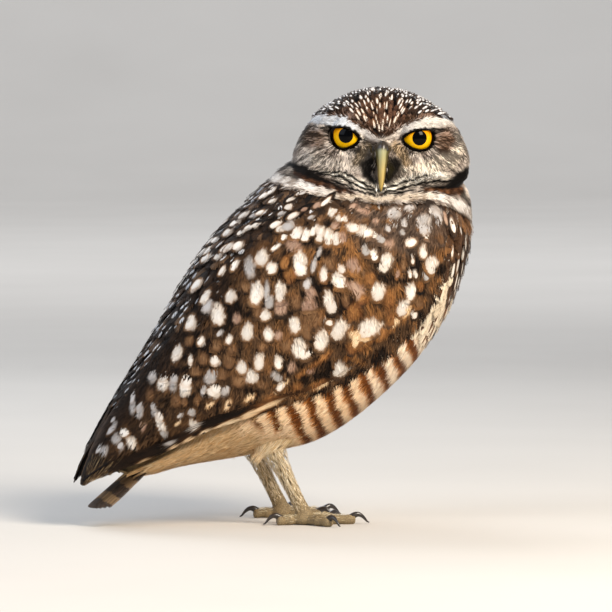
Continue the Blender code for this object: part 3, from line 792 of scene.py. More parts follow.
# the larger marks of the upper side: across, down, half width, half length, lean, colour
WING_MARKS = (
    (299.9, 262.6, 6.5, 11, 0, "w"), (250, 266, 5, 10, -5, "g"), (262, 257, 6, 7.5, 15, "w"), (271.5, 267.5, 5, 5, 0, "w"), (277, 247, 1.8, 5.5, 50, "w"),
    (239, 246, 3.2, 5.5, 42, "w"), (235.5, 265, 2.6, 5.8, 22, "w"), (223.5, 270, 2, 5, 25, "w"), (231, 295.5, 4.8, 6.2, 5, "w"), (257, 292, 6.5, 10.5, 12, "w"),
    (267, 289, 2.6, 7, 5, "g"), (280.5, 291, 4.8, 8.5, 0, "w"), (281, 306, 6.8, 7, 0, "p"), (269.5, 301, 4.2, 6, 0, "g"), (265, 315, 5, 5.2, 0, "w"),
    (208, 307, 5.5, 7, 15, "g"), (218, 314.5, 6.2, 10.2, -5, "w"), (206, 297, 3, 8, 28, "w"), (236.5, 318, 4, 5.5, -10, "p"), (247.5, 332, 5.5, 8.3, 8, "w"),
    (268.5, 334, 4.5, 6.5, 0, "w"), (278, 335.5, 4, 4.5, 30, "p"), (294.3, 324.5, 5.2, 7.6, -3, "w"), (340.5, 328.5, 7.8, 9.8, 8, "w"), (322, 340, 6.4, 10, 8, "w"),
    (299.5, 348, 8, 8.6, -8, "w"), (328.8, 300.5, 4.6, 8.8, -4, "w"), (338.5, 279.5, 6.5, 6, 0, "w"), (355, 287, 4.5, 10, -62, "p"), (378.5, 290.5, 7, 8.2, 0, "w"),
    (386.7, 260.5, 6.3, 6.8, 0, "w"), (373.4, 252.8, 3.2, 3.8, 0, "w"), (365, 248.6, 3.3, 3.8, 0, "g"), (352.5, 264, 6, 5.6, 0, "p"), (341, 268, 3.1, 3.5, 0, "w"),
    (323.7, 273, 3.2, 7, 8, "w"), (314, 264.5, 2, 7, 14, "g"), (319.5, 251.5, 1.8, 4.5, 18, "g"), (307.5, 283, 3.5, 4.8, 20, "g"), (294.3, 245, 8, 4.6, 0, "p"),
    (311, 292.5, 5, 5.5, 10, "p"), (308, 303.5, 8, 4, -10, "p"), (296, 301, 5, 5.5, 0, "b"), (313, 317, 10, 7.5, 0, "b"), (354.5, 311.5, 7.5, 8, 0, "o"),
    (370.5, 278, 4.8, 5.2, 0, "o"), (245.5, 286, 5, 4.6, 0, "b"), (241.5, 367.5, 4.8, 6.8, -3, "w"), (251.5, 376.8, 6, 6.2, 0, "w"), (259.5, 361, 4.8, 7.5, 5, "w"),
    (278, 361, 3.8, 6, 0, "w"), (275, 375.5, 4.2, 3.8, 0, "g"), (281, 386, 3.4, 5, 40, "w"), (210, 379, 6, 6.6, 0, "g"), (214, 392.3, 6.2, 5.6, 30, "w"),
    (225, 391.5, 4, 4.2, 30, "g"), (185, 389, 5.8, 7.4, 0, "w"), (173, 384.5, 4.2, 5.8, 0, "g"), (162.5, 384.5, 5.4, 6, -5, "w"), (152.5, 378, 4.6, 5.2, 30, "g"),
    (203, 391.5, 2.2, 4, 5, "g"), (133, 406, 2.7, 8.4, 2, "g"), (140, 413, 3.2, 6, 12, "g"), (154.5, 412.5, 3.3, 5, -15, "g"), (160.5, 424, 3.6, 8.4, -28, "w"),
    (165, 435, 2.7, 2.7, 0, "g"), (194.5, 425, 3.6, 5.6, -40, "w"), (192, 413, 3.5, 3.2, 20, "g"), (184, 403, 2.6, 3.4, 20, "b"), (116.5, 438.5, 5, 5.4, 0, "g"),
    (131.5, 442.5, 4.4, 7.8, -28, "w"), (103.5, 452, 4, 6.5, 20, "g"), (114.5, 425, 2.4, 3.6, 10, "g"), (177, 354, 4.4, 8.5, 20, "w"), (190.5, 361, 2.4, 5, 0, "w"),
    (203, 359, 5, 6, 0, "b"), (215, 361.5, 4.4, 5, 0, "w"), (229.5, 360, 5.4, 7.6, 0, "b"), (191.5, 323, 4.4, 7.4, 15, "w"), (230, 339, 3.2, 4.5, 15, "w"),
    (201.5, 341, 3.3, 5, 10, "w"), (370.5, 326, 11, 7.6, 0, "w"), (359, 336.5, 4.2, 11, -72, "c"), (340.8, 369, 6, 6.4, 20, "w"), (422.4, 250, 3.7, 5.2, 0, "w"),
    (432.5, 262.5, 6, 5, 40, "w"), (411, 290, 4.6, 7.4, 14, "w"), (403.5, 306.5, 5.4, 8, 38, "w"), (418, 301, 5, 3.6, 0, "b"), (415, 273, 1.8, 2.8, 0, "w"),
    (409.7, 273, 1.8, 2.8, 0, "w"), (397.8, 273, 1.7, 3.4, 30, "p"), (390, 243.5, 4.5, 3.4, 0, "p"), (411, 241.5, 5.5, 3.6, -20, "w"), (379.5, 238, 3.4, 3, 0, "g"),
    (425, 232.5, 2.6, 4, 0, "w"), (387.5, 228, 2.4, 3, 0, "g"), (402, 232, 2.4, 2.6, 0, "g"), (440, 238, 3, 3.6, 0, "b"), (420, 285, 4, 3.4, 0, "o"),
    (404, 262, 3, 4, 0, "b"), (330, 262, 6, 5, 0, "b"), (290, 275, 6, 6, 10, "o"), (258, 312, 5, 5, 0, "b"), (286, 345, 5, 5, 0, "b"), (222, 375, 6, 4.5, 0, "b"),
    (239, 382, 7, 5, 20, "b"), (262, 385, 6, 4, 30, "b"), (196, 372, 6, 4.5, 0, "b"), (176, 402, 5, 5, 0, "b"), (197, 400, 3.2, 4.6, 10, "b"), (150, 396, 3.5, 6, 10, "b"),
    (306, 331, 5, 7, 0, "b"), (262, 347, 5, 4, 0, "b"), (217, 345, 5, 5, 10, "b"), (190, 341, 4, 5, 15, "b"), (352, 347, 5, 5, 30, "o"), (392, 318, 5, 6, 20, "o"),
    (388, 300, 6, 9, 0, "o"), (346, 300, 4, 5, 0, "b"), (363, 300, 5, 4, 0, "o"), (285, 262, 4, 6, 10, "o"), (232, 349, 4, 4, 0, "b"),
)
# the pale band over the wing's root and the marks of the shoulder and the neck's side
BAND_MARKS = (
    (277.5, 223.5, 2.6, 4.8, 55, "w"), (283, 227.5, 3.2, 4, 45, "w"), (290, 225, 4.6, 4.4, 30, "g"), (298, 231.5, 5.4, 4.8, 20, "w"), (307, 233.5, 4, 5, 20, "w"),
    (315, 228.5, 3.2, 5.4, 25, "w"), (321, 232.5, 4.8, 6, 10, "w"), (328, 235, 4.8, 6, 0, "w"), (335.5, 237, 4.6, 4.6, -10, "w"), (342.5, 236, 4, 4, 0, "p"),
    (351, 226.5, 5, 4, -20, "w"), (361.5, 230, 5.4, 5.2, -30, "w"), (369.5, 232.5, 3.8, 3.8, -20, "w"), (395, 213, 7, 6, 0, "g"), (424.5, 219.5, 7.4, 5.4, 0, "g"),
    (436, 211, 4.6, 7, -50, "g"), (410, 207, 5, 3.4, 0, "g"), (332, 212.5, 4.4, 4.2, -30, "w"), (338, 218, 2.6, 3.2, -40, "w"), (344.5, 218.5, 2.4, 3, 0, "w"),
    (362, 210.5, 2.6, 8, -72, "p"), (354, 205.5, 2, 4.4, 80, "p"), (335, 225, 4, 3, 0, "p"), (327.5, 200, 1.8, 5.5, 45, "w"), (318, 204.8, 2.4, 3.6, 70, "p"),
    (295, 215, 2.2, 5.6, 70, "w"), (290, 206.5, 2.6, 3.2, 40, "w"), (291, 199, 1.4, 3.4, 50, "w"), (274, 201, 1.4, 4, 55, "w"), (263, 212.5, 1.6, 4.2, 65, "w"),
    (283, 213, 1.5, 3.5, 75, "g"), (305, 209, 1.4, 3, 70, "p"), (312, 217, 1.4, 3, 70, "g"), (257, 225.5, 1.7, 3.4, 62, "w"), (243, 232, 1.7, 4.4, 50, "w"),
    (250, 227.5, 1.4, 4, 55, "w"), (229, 233, 2.6, 4.4, 50, "w"), (216, 240.5, 2.4, 4, 42, "w"), (237, 223, 2.2, 4.4, 52, "w"), (246, 214, 2, 4.6, 48, "w"),
    (226, 249, 2, 5.4, 45, "w"), (219, 257, 2.2, 4.4, 42, "w"), (207, 259, 2.6, 5, 45, "w"), (203, 253, 2, 5.6, 42, "w"), (230, 247, 1.8, 5, 40, "w"),
    (198, 285, 2.8, 6.4, 38, "w"), (194, 289, 2.2, 4.6, 38, "w"), (256, 215, 1.6, 3.4, 52, "g"), (266, 195, 1.6, 4.4, 48, "w"), (273, 190, 1.8, 4, 48, "w"),
    (376, 221, 3, 2.6, 0, "p"), (452, 222, 2, 5, -12, "w"), (445, 215, 1.6, 4, -20, "p"), (404, 222, 3, 3, 0, "g"), (366, 221, 4, 3, 0, "b"), (389, 221, 4, 3, 0, "b"),
)


# long pale blocks on the outer feathers along the wing's lower edge
EDGE_MARKS = (
    (318, 385, 3.6, 9, 64, "o"), (322, 386.5, 1.4, 8, 64, "c"), (297, 386.5, 4, 4.8, 60, "o"), (283, 384, 2.2, 7, 58, "c"), (277, 391, 1.6, 5, 62, "c"), (292, 367, 4, 5, 20, "p"),
    (250, 398, 2.1, 6, 62, "c"), (268, 401, 3.4, 12, 66, "o"), (266, 407, 2.4, 15, 66, "c"), (249, 415, 3.6, 9, 66, "c"), (210, 405, 1.8, 5, 58, "c"), (228, 405, 2.6, 6, 28, "c"),
    (221, 427.5, 3.0, 9, 66, "c"), (204, 434, 3.0, 6.5, 67, "c"), (231, 423, 3.0, 9, 66, "c"), (188, 441, 3.0, 7.5, 68, "c"), (174, 448, 2.2, 4.5, 68, "c"), (170, 443, 2.2, 5, 75, "g"), (177, 424, 1.4, 4, 60, "c"), (145, 463, 3.0, 9, 72, "c"),
    (306, 371, 2.6, 12, 58, "o"), (322, 359, 2.6, 12, 52, "o"), (352, 352, 3.2, 12, 40, "o"), (366, 345, 3.0, 10, 50, "o"), (384, 335, 3.2, 9, 48, "o"), (396, 322, 2.2, 8, 40, "c"), (408, 311, 2.2, 7, 34, "c"),
)


def paint(rng, codes, n):
    """Mark colours of n letters."""
    c = np.zeros((n, 3))
    letters = np.array(codes)
    for key, pair in MARKS.items():
        on = letters == key
        c[on] = pick(rng, pair, n)[on]
    return c


def loose_marks(rng, f, share):
    """Marks by chance: off-white, grey and buff."""
    letters = np.where(rng.random(f) < share, rng.choice(["b", "p", "o"], f, p=[0.5, 0.3, 0.2]), rng.choice(["w", "g"], f, p=[0.7, 0.3]))
    return paint(rng, letters, f)


def between(a, b, k):
    return blend(rgb(a) * np.ones((*k.shape, 3)), rgb(b), k)


def ground_colour(u, v, s, a, k):
    """Ground colour of the upper side: near black along the back, warm brown on the wing, greyer at the shoulder, with
    near-black patches as painted shade in the gaps between feathers.
    """
    n = noise2(u / 19, v / 15, 5) + 0.9 * noise2(u / 8, v / 7, 6) + 0.5 * (k - 0.5)
    deep, brown, warm = between("0d0805", "1f140c", k), between("38281b", "59412c", k), between("66452a", "8c6036", k)
    c = blend(brown, warm, ease(n, 0.0, 0.8) * (0.35 + 0.65 * ease(u, 240, 345)))
    # near-black patches laid by noise: painted shade in the gaps between feathers
    c = blend(c, deep, ease(n, -0.12, -0.75))
    c = blend(c, between("3a2d25", "5f4f43", k), 0.85 * patch_at(u, v, 405, 222, 58, 33))
    c = blend(c, between("21160f", "42301f", k), 0.7 * ease(s, 4.9, 6.2))
    return blend(c, between("0d0806", "281b12", k), 0.85 * ease(a, 36, 60))


def ground(rng, hull, s, a):
    u, v = on_map(hull, s, a)
    return ground_colour(u, v, s, a, rng.random(len(s)))


def patch_at(u, v, x, y, rx, ry):
    return ease(np.hypot((u - x) / rx, (v - y) / ry), 1.25, 0.7)


def wing_turn(s, a):
    """Which way the wing's small feathers point: down on its flat, along the body at the back."""
    return -np.interp(a, (-45, 18, 44, 74), (40, 38, 20, 2)) * ease(s, 1.6, 2.4) * (1 - 0.35 * ease(s, 6.2, 7.2))


def plain(rng, s, a):
    """Unmarked or faintly marked coverts that fill the wing."""
    f = len(s)
    back = ease(a, 34, 58)
    tail = ease(s, 4.8, 6.0)
    length, half = rand(rng, f, 12, 16) + 3 * tail, rand(rng, f, 4.0, 5.6) - 1.2 * back - 0.6 * tail
    sy = np.where(rng.random(f) < 0.5, 1, -1)
    tint = ground(rng, BODY, s, a)
    return dict(
        length=length, half=half, turn=wing_turn(s, a) + rng.normal(0, 7, f), low=np.full(f, -0.9), high=rand(rng, f, 0.1, 0.55), barbs=18, fray=0.4, ragged=0.12, camber=0.2,
        tint=tint, fringe=tint * 1.3, edge=0.2, root=0.6, mark=loose_marks(rng, f, 0.5),
        spots=[(length - rand(rng, f, 2.2, 4.5), sy * half * rand(rng, f, 0.1, 0.5), rand(rng, f, 1.0, 2.0), rand(rng, f, 0.7, 1.4), 0.0), (length - 7, -sy * half * 0.5, 1.2, 0.8, 0.0)],
        on=[rng.random(f) < 0.0, rng.random(f) < 0.0], variety=0.10,
    )


def small_plain(rng, s, a):
    """Short soft feathers over the bend of the wing."""
    f = len(s)
    look = plain(rng, s, a)
    return look | dict(length=rand(rng, f, 8.5, 11), half=rand(rng, f, 2.8, 3.8), barbs=11, fray=0.5, ragged=0.12, turn=wing_turn(s, a) + rng.normal(0, 10, f), spots=[], on=[])


def strayed(rng, rows, stray):
    """The same marks a little out of place, for the other side of the bird."""
    return tuple((r[0] + rng.normal(0, stray), r[1] + rng.normal(0, stray), r[2] * rng.uniform(0.86, 1.16), r[3] * rng.uniform(0.86, 1.16), r[4] + rng.normal(0, 8), r[5]) for r in rows)


def small_marks(rng, rows):
    """Small marks by chance between the listed ones."""
    s, a = lattice(BODY, rng, (1.35, 7.2), 6.0, 6.0, 20, lambda s: (float(wing_edges(s)[0]) + 5, min(float(wing_edges(s)[1]), 46)))
    u, v = on_map(BODY, s, a)
    more = []
    for x, y in zip(u, v):
        gap = min(math.hypot(x - r[0], y - r[1]) - (r[2] + r[3]) / 2 for r in rows)
        at_shoulder = math.hypot((x - 405) / 45, (y - 232) / 28) < 1
        if gap < (2.0 if at_shoulder else 4.5) or y < 205 or rng.random() > (0.75 if at_shoulder else 0.34):
            continue
        k = 0.6 if at_shoulder else 1.0
        more.append((x, y, k * rng.uniform(1.3, 3.4), k * rng.uniform(2.2, 4.4), float(np.interp(x, (150, 330), (32, 4))) + rng.normal(0, 10), str(rng.choice(["w", "g", "p", "b", "b"]))))
    return tuple(more)


def marked(coat, hull, rng, side, rows, place, high, others=()):
    """One feather for each listed mark, so placed that the mark falls where the list says."""
    u, v, wide, long_, lean = (np.array([r[i] for r in rows], float) for i in range(5))
    f = len(rows)
    s, a = place(u, v)
    # strongly tilted marks lie slantwise on a feather that points nearly down
    way = np.clip(lean, -32, 60)
    tilt = np.radians(way - lean)
    turn, grow, spread = turn_for(hull, s, a, way)
    rx, ry = long_ * 0.45 * grow, wide * 0.45 * spread
    reach = np.hypot(rx * np.cos(tilt), ry * np.sin(tilt))
    width = np.hypot(ry * np.cos(tilt), rx * np.sin(tilt))
    half = np.maximum(width * 1.32 + 1.0, 2.2)
    length = np.clip(reach * 2 + 6 + half, 7.5, 17)
    at = length - reach - rand(rng, f, 0.5, 1.3) - 0.14 * half
    mx, _ = hull.frame_at(s, a, turn)
    ahead = (length - at)[:, None] * mx
    tips = (s + ahead[:, 0], a + ahead[:, 1])
    tint = ground(rng, hull, s, a)
    mark = paint(rng, [r[5] for r in rows], f)
    soft = np.array([SOFT[r[5]] for r in rows])

    def kind(_, s1, a1):
        return dict(
            length=length, half=half, turn=turn, low=np.full(f, -0.25), high=np.full(f, high) + rand(rng, f, 0, 0.2) + 0.25 * (soft < 0.12), barbs=22, fray=0.12, ragged=0.04, blunt=0.5, camber=0.2,
            tint=tint, fringe=tint * 1.3, edge=0.20, root=0.6, mark=mark, spots=[(at, 0.0, rx, ry, tilt, soft)], on=[np.ones(f, bool)], variety=0.08,
        )

    tract(coat, hull, rng, side, tips, kind, others)


def mantle(rng, s, a):
    f = len(s)
    length, half = rand(rng, f, 11, 15), rand(rng, f, 2.9, 3.8)
    long_, wide = rand(rng, f, 1.0, 2.9), rand(rng, f, 0.5, 1.25)
    sy = np.where(rng.random(f) < 0.5, 1, -1)
    tint = ground(rng, BODY, s, np.maximum(a, 50))
    tint = blend(tint, pick(rng, ("4a3524", "6b5038"), f), 0.7 * (rng.random(f) < 0.35))
    return dict(
        length=length, half=half, turn=rng.normal(0, 7, f), low=np.full(f, -1.9), high=rand(rng, f, 0.1, 0.8), barbs=8, fray=0.45, blunt=0.72,
        tint=tint, fringe=tint * 1.6, edge=0.25, root=0.4, mark=pick(rng, ("b9bcc2", "d9dadb"), f),
        spots=[(length - long_ - rand(rng, f, 0.3, 1.4), sy * half * 0.40, long_, wide, sy * 0.12), (length - 5.8 - rand(rng, f, 0, 1.2), -sy * half * 0.45, long_ * 0.8, wide * 0.8, -sy * 0.1)],
        on=[rng.random(f) < 0.66, rng.random(f) < 0.22],
    )


def scapular(rng, s, a):
    f = len(s)
    length, half = rand(rng, f, 12, 15), rand(rng, f, 3.6, 4.6)
    tint = ground(rng, BODY, s, a)
    return dict(
        length=length, half=half, turn=-6 + rng.normal(0, 8, f), low=np.full(f, -1.2), high=rand(rng, f, 0.1, 0.6), barbs=14, fray=0.5, ragged=0.12, camber=0.2,
        tint=tint, fringe=tint * 1.3, edge=0.2, root=0.55, mark=loose_marks(rng, f, 0.25),
    )


def breast(rng, s, a):
    """Dark with a few long pale drops beside the wing; lower down long cream feathers with brown dashes between."""
    f = len(s)
    u, v = on_map(TRUNK, s, a)
    low = ease(v + rng.normal(0, 7, f), 280, 316)
    cream = rng.random(f) < 0.85 * low + 0.45 * ease(v, 256, 284) * ease(a, -62, -46)
    length, half = rand(rng, f, 12, 15) + 4 * low, rand(rng, f, 3.2, 4.2) + 0.9 * low
    sy = np.where(rng.random(f) < 0.5, 1, -1)
    long_ = np.where(cream, rand(rng, f, 2.2, 4.2), rand(rng, f, 2.2, 4.4))
    wide = np.where(cream, rand(rng, f, 0.7, 1.3), rand(rng, f, 0.7, 1.35))
    brown = blend(pick(rng, ("2b1b10", "4c331f"), f), pick(rng, ("4e2f16", "7a4c22"), f), low)
    tint = np.where(cream[:, None], pick(rng, ("d9c6a9", "f2e2c8"), f), brown)
    mark = np.where(cream[:, None], pick(rng, ("4e2f16", "7a4c22"), f), pick(rng, ("b9b2a8", "ded8ce"), f))
    return dict(
        length=length, half=half, turn=rng.normal(0, 8, f), low=np.full(f, -2.0), high=rand(rng, f, 0.0, 0.5) + 0.2 * cream, barbs=16, fray=0.28, ragged=0.10, blunt=0.70,
        tint=tint, fringe=tint * 1.15, edge=0.25, root=0.8, mark=mark,
        spots=[(length - long_ - rand(rng, f, 0.2, 2.5), sy * half * rand(rng, f, 0.0, 0.3), long_, wide, 0.0), (length - long_ - 6.0, -sy * half * 0.45, long_ * 0.7, wide * 0.8, 0.0)],
        on=[np.where(cream, rng.random(f) < 0.45, rng.random(f) < 0.60 + 0.3 * low), rng.random(f) < 0.20],
    )


def flank(rng, s, a):
    """Long soft cream feathers crossed by brown bars that meet from feather to feather."""
    f = len(s)
    u, v = on_map(TRUNK, s, a)
    belly = ease(a, -66, -88)
    length, half = rand(rng, f, 15, 20), rand(rng, f, 4.6, 6.0)
    # paler on the belly, its own colour, and paler towards the front of the flank (across 345 to 392): painted light on
    # the lit side
    cream = blend(pick(rng, ("f0c79a", "fbdcb4"), f), pick(rng, ("f2dcc0", "fbeedb"), f), np.maximum(belly, 0.6 * ease(u, 345, 392)))
    strength = 0.96 * (1 - 0.75 * belly) * (rng.random(f) < 0.96) * (s + 0.12 * rng.normal(0, 1, f) < 5.35)
    return dict(
        length=length, half=half, turn=rng.normal(0, 5, f), low=np.full(f, -2.2), high=rand(rng, f, -0.1, 0.35), barbs=12, fray=0.35, ragged=0.10, blunt=0.70,
        tint=cream, fringe=cream * 1.05, edge=0.3, root=0.75, mark=pick(rng, ("5e300a", "964f0e"), f), bands=rng.normal(0, 0.035, f), strength=strength, variety=0.04, tucked=2.2,
    )


def undertail(rng, s, a):
    """Plain creamy buff, loose and hairy."""
    f = len(s)
    length, half = rand(rng, f, 15, 23), rand(rng, f, 3.6, 4.8)
    return dict(
        length=length, half=half, turn=rng.normal(0, 5, f), low=np.full(f, -1.5), high=rand(rng, f, 0.0, 0.4), barbs=14, fray=0.30, ragged=0.12, blunt=0.8, loose=0.6,
        tint=pick(rng, ("c79c69", "d3ae7d", "dcbe90"), f), fringe=pick(rng, ("dcbf92", "e6d0a8"), f), edge=0.3, root=1.0, mark=rgb("d9b98a") * np.ones((f, 1)), tucked=3.0,
    )


def upper_colour(u, v, s, a, k, rows):
    """The upper side's colour at any place of the map: its ground and the marks on it."""
    c = ground_colour(u, v, s, a, k)
    return daub(c, u, v, k, rows)


def daub(c, u, v, k, rows):
    """The listed marks laid over a ground colour."""
    wobble = 0.22 * noise2(u / 2.2, v / 3.2, 14) + 0.16 * noise2(u / 5, v / 5, 15)
    for x, y, wide, long_, lean, letter in rows:
        near = (np.abs(u - x) < 2 * max(wide, long_)) & (np.abs(v - y) < 2 * max(wide, long_))
        if not near.any():
            continue
        r = math.radians(lean)
        dx, dy = u[near] - x, v[near] - y
        along, over = -dx * math.sin(r) + dy * math.cos(r), dx * math.cos(r) + dy * math.sin(r)
        d = np.hypot(along / long_, over / wide) + wobble[near]
        soft = 0.14 + SOFT[letter]
        mark = between(*MARKS[letter], k[near])
        mark = blend(mark, mark * np.array((0.84, 0.70, 0.56)), 0.6 * ease(d + 0.35 * over / wide, 0.2, 1.1))
        rim = mark * np.array((0.42, 0.25, 0.14))
        c[near] = blend(c[near], rim, (0.40 if SOFT[letter] < 0.1 else 0.0) * ease(d, 1.55, 1.0))
        if SOFT[letter] > 0.3:  # the shade under a feather's tip
            c[near] = blend(c[near], rgb("120b06"), 0.62 * ease(d, 1.75, 1.15) * ease(along / long_, -0.1, 0.6))
        c[near] = blend(c[near], mark, ease(d, 1 + soft, 1 - soft))
    return c


def fine_vanes(rng, side, word, rows):
    """Loose barbs that lie over the wing's feathers and blur one into the next."""
    coat = Coat(f"loose_barbs_{word}", "plumage_brown", STRANDS)
    n = 22000
    s, k = rand(rng, n, 1.35, 7.3), rng.random(n)
    low, high = wing_edges(s)
    low = low + np.interp(s, (1.3, 3.6, 4.4, 5.2, 6, 7.2), (0, 0, 1.5, 6, 7, 16))
    high = np.minimum(high, np.where(s < 2.9, 60, 90)) + np.interp(s, (5, 7), (2, -10))
    a = low + (high - low) * k
    # even out the density by the surface's own size there
    size = np.linalg.norm(np.cross(BODY.read(BODY.ds, s, a), BODY.read(BODY.da, s, a)), axis=-1) * (high - low)
    keep = rng.random(n) < size / np.quantile(size, 0.92)
    s, a = s[keep], a[keep]
    p = BODY.at(s, a, np.zeros(len(s)))
    facing = dot(unit(BODY.read(BODY.n, s, a)) * np.array((1, side, 1)), BACK)
    across, down = face_map(p * np.array((1, side, 1)))
    keep = ~((facing > -0.1) & (under_band(across, down) < 5) & (down < 240))
    s, a = s[keep], a[keep]
    n = len(s)
    u, v = on_map(BODY, s, a)
    length, width = rand(rng, n, 3.4, 7.4), rand(rng, n, 0.40, 0.80)
    x, y, t, faces = strand_points(rng, length, width)
    turn = wing_turn(s, a) * (1 - 0.5 * ease(s, 2.9, 1.9)) + rng.normal(0, 14, n) + 26 * noise2(u / 11, v / 11, 31)
    h = 0.32 + rand(rng, n, 0.60, 1.10)[:, None] * t**0.7 - 0.25 * t**3
    p, ss, aa = lay(BODY, s, a, turn, x, y, h, side)
    uu, vv = face_map(p * np.array((1, -side, 1)))
    # darker streaks run along the lie of the feathers
    streak = 0.6 * noise2((uu * 0.8 + vv * 0.25) / 2.6, (vv - 0.3 * uu) / 13, 33) + 0.9 * noise2(uu / 6, vv / 6, 34)
    tint = upper_colour(uu, vv, ss, aa, np.repeat(rng.random(n)[:, None], x.shape[1], 1), rows)
    tone = (1 + 0.09 * rng.normal(0, 1, n)).clip(0.5, 1.6)[:, None]
    bright = tint.mean(-1)
    dull = ease(bright, 0.30, 0.06)
    tone = (1 + (tone - 1) * (0.15 + 0.85 * dull) + 0.30 * streak * dull).clip(0.25, 2.0)
    tint = tint * (tone * (1 - 0.20 * dull * (1 - ease(t, 0, 0.35))))[..., None]
    if side < 0:
        faces = faces[:, ::-1]
    coat.add(p, faces, strand_data(x, y, rng.random(n) * 40, tint), np.stack((0.5 + y / 1.5, x / length[:, None]), -1), np.stack((s, a), -1))
    coat.finish()


def fine_down(rng, side, word):
    """Loose barbs over the flank, the belly and under the tail, with the same bars as the feathers they lie on."""
    coat = Coat(f"loose_down_{word}", "plumage_cream", STRANDS)
    n = 12500
    s, k = rand(rng, n, 2.7, 7.25), rng.random(n)
    a = -91 + (wing_edges(s)[0] + 6 + 91) * k
    size = np.linalg.norm(np.cross(TRUNK.read(TRUNK.ds, s, a), TRUNK.read(TRUNK.da, s, a)), axis=-1) * (wing_edges(s)[0] + 97)
    u, v = on_map(TRUNK, s, a)
    keep = (rng.random(n) < size / np.quantile(size, 0.9)) & (v > np.interp(u, (360, 400, 430), (300, 330, 352)) - 2)
    s, a = s[keep], a[keep]
    n = len(s)
    length, width = rand(rng, n, 4.0, 8.5), rand(rng, n, 0.35, 0.75)
    x, y, t, faces = strand_points(rng, length, width)
    u, v = on_map(TRUNK, s, a)
    turn = rng.normal(0, 9, n) + 10 * noise2(u / 15, v / 15, 51)
    h = 0.0 + rand(rng, n, 0.65, 1.15)[:, None] * t**0.7 - 0.3 * t**3
    p, ss, aa = lay(TRUNK, s, a, turn, x, y, h, side)
    uu, vv = face_map(p * np.array((1, -side, 1)))
    h = h - 3.2 * ease(below_wing(uu, vv), 3, -4) * ease(aa, -80, -60)
    p, ss, aa = lay(TRUNK, s, a, turn, x, y, h, side)
    uu, vv = face_map(p * np.array((1, -side, 1)))
    belly = ease(aa, -66, -88)
    one = np.repeat(rng.random(n)[:, None], x.shape[1], 1)
    # paler on the belly, its own colour, and paler towards the front of the flank (across 345 to 392): painted light on
    # the lit side
    tint = blend(between("f2cda2", "fde2bd", one), between("f4e2ca", "fdf3e4", one), np.maximum(belly, 0.6 * ease(uu, 345, 392)))
    own = 0.045 * rng.normal(0, 1, n)[:, None] + 0.13 * noise2(uu / 6, vv / 7, 52)
    phase = 2 * math.pi * ((0.91 * uu - 0.41 * vv - 117) / 19.4 + 0.25 + own)
    wave, edge = np.sin(phase), np.sin(phase + 0.55)
    barred = ease(ss + 0.25 * noise2(uu / 7, vv / 7, 53), 5.45, 5.15) * (1 - 0.75 * belly)
    tint = blend(tint, between("b0661f", "cc8438", one), 0.90 * barred * ease(edge, -0.20, 0.20))
    tint = blend(tint, between("45240b", "763c0d", one), 0.96 * barred * ease(wave, 0.02, 0.45))
    tint = blend(tint, between("c79c69", "e0c296", one), ease(ss + 0.2 * noise2(uu / 9, vv / 9, 54), 5.15, 5.75))
    tint = tint * (0.80 + 0.20 * ease(t, 0, 0.4) + 0.07 * rng.normal(0, 1, n)[:, None]).clip(0.5, 1.2)[..., None]
    if side < 0:
        faces = faces[:, ::-1]
    coat.add(p, faces, strand_data(x, y, rng.random(n) * 40, tint), np.stack((0.5 + y / 1.8, x / length[:, None]), -1), np.stack((s, a), -1))
    coat.finish()


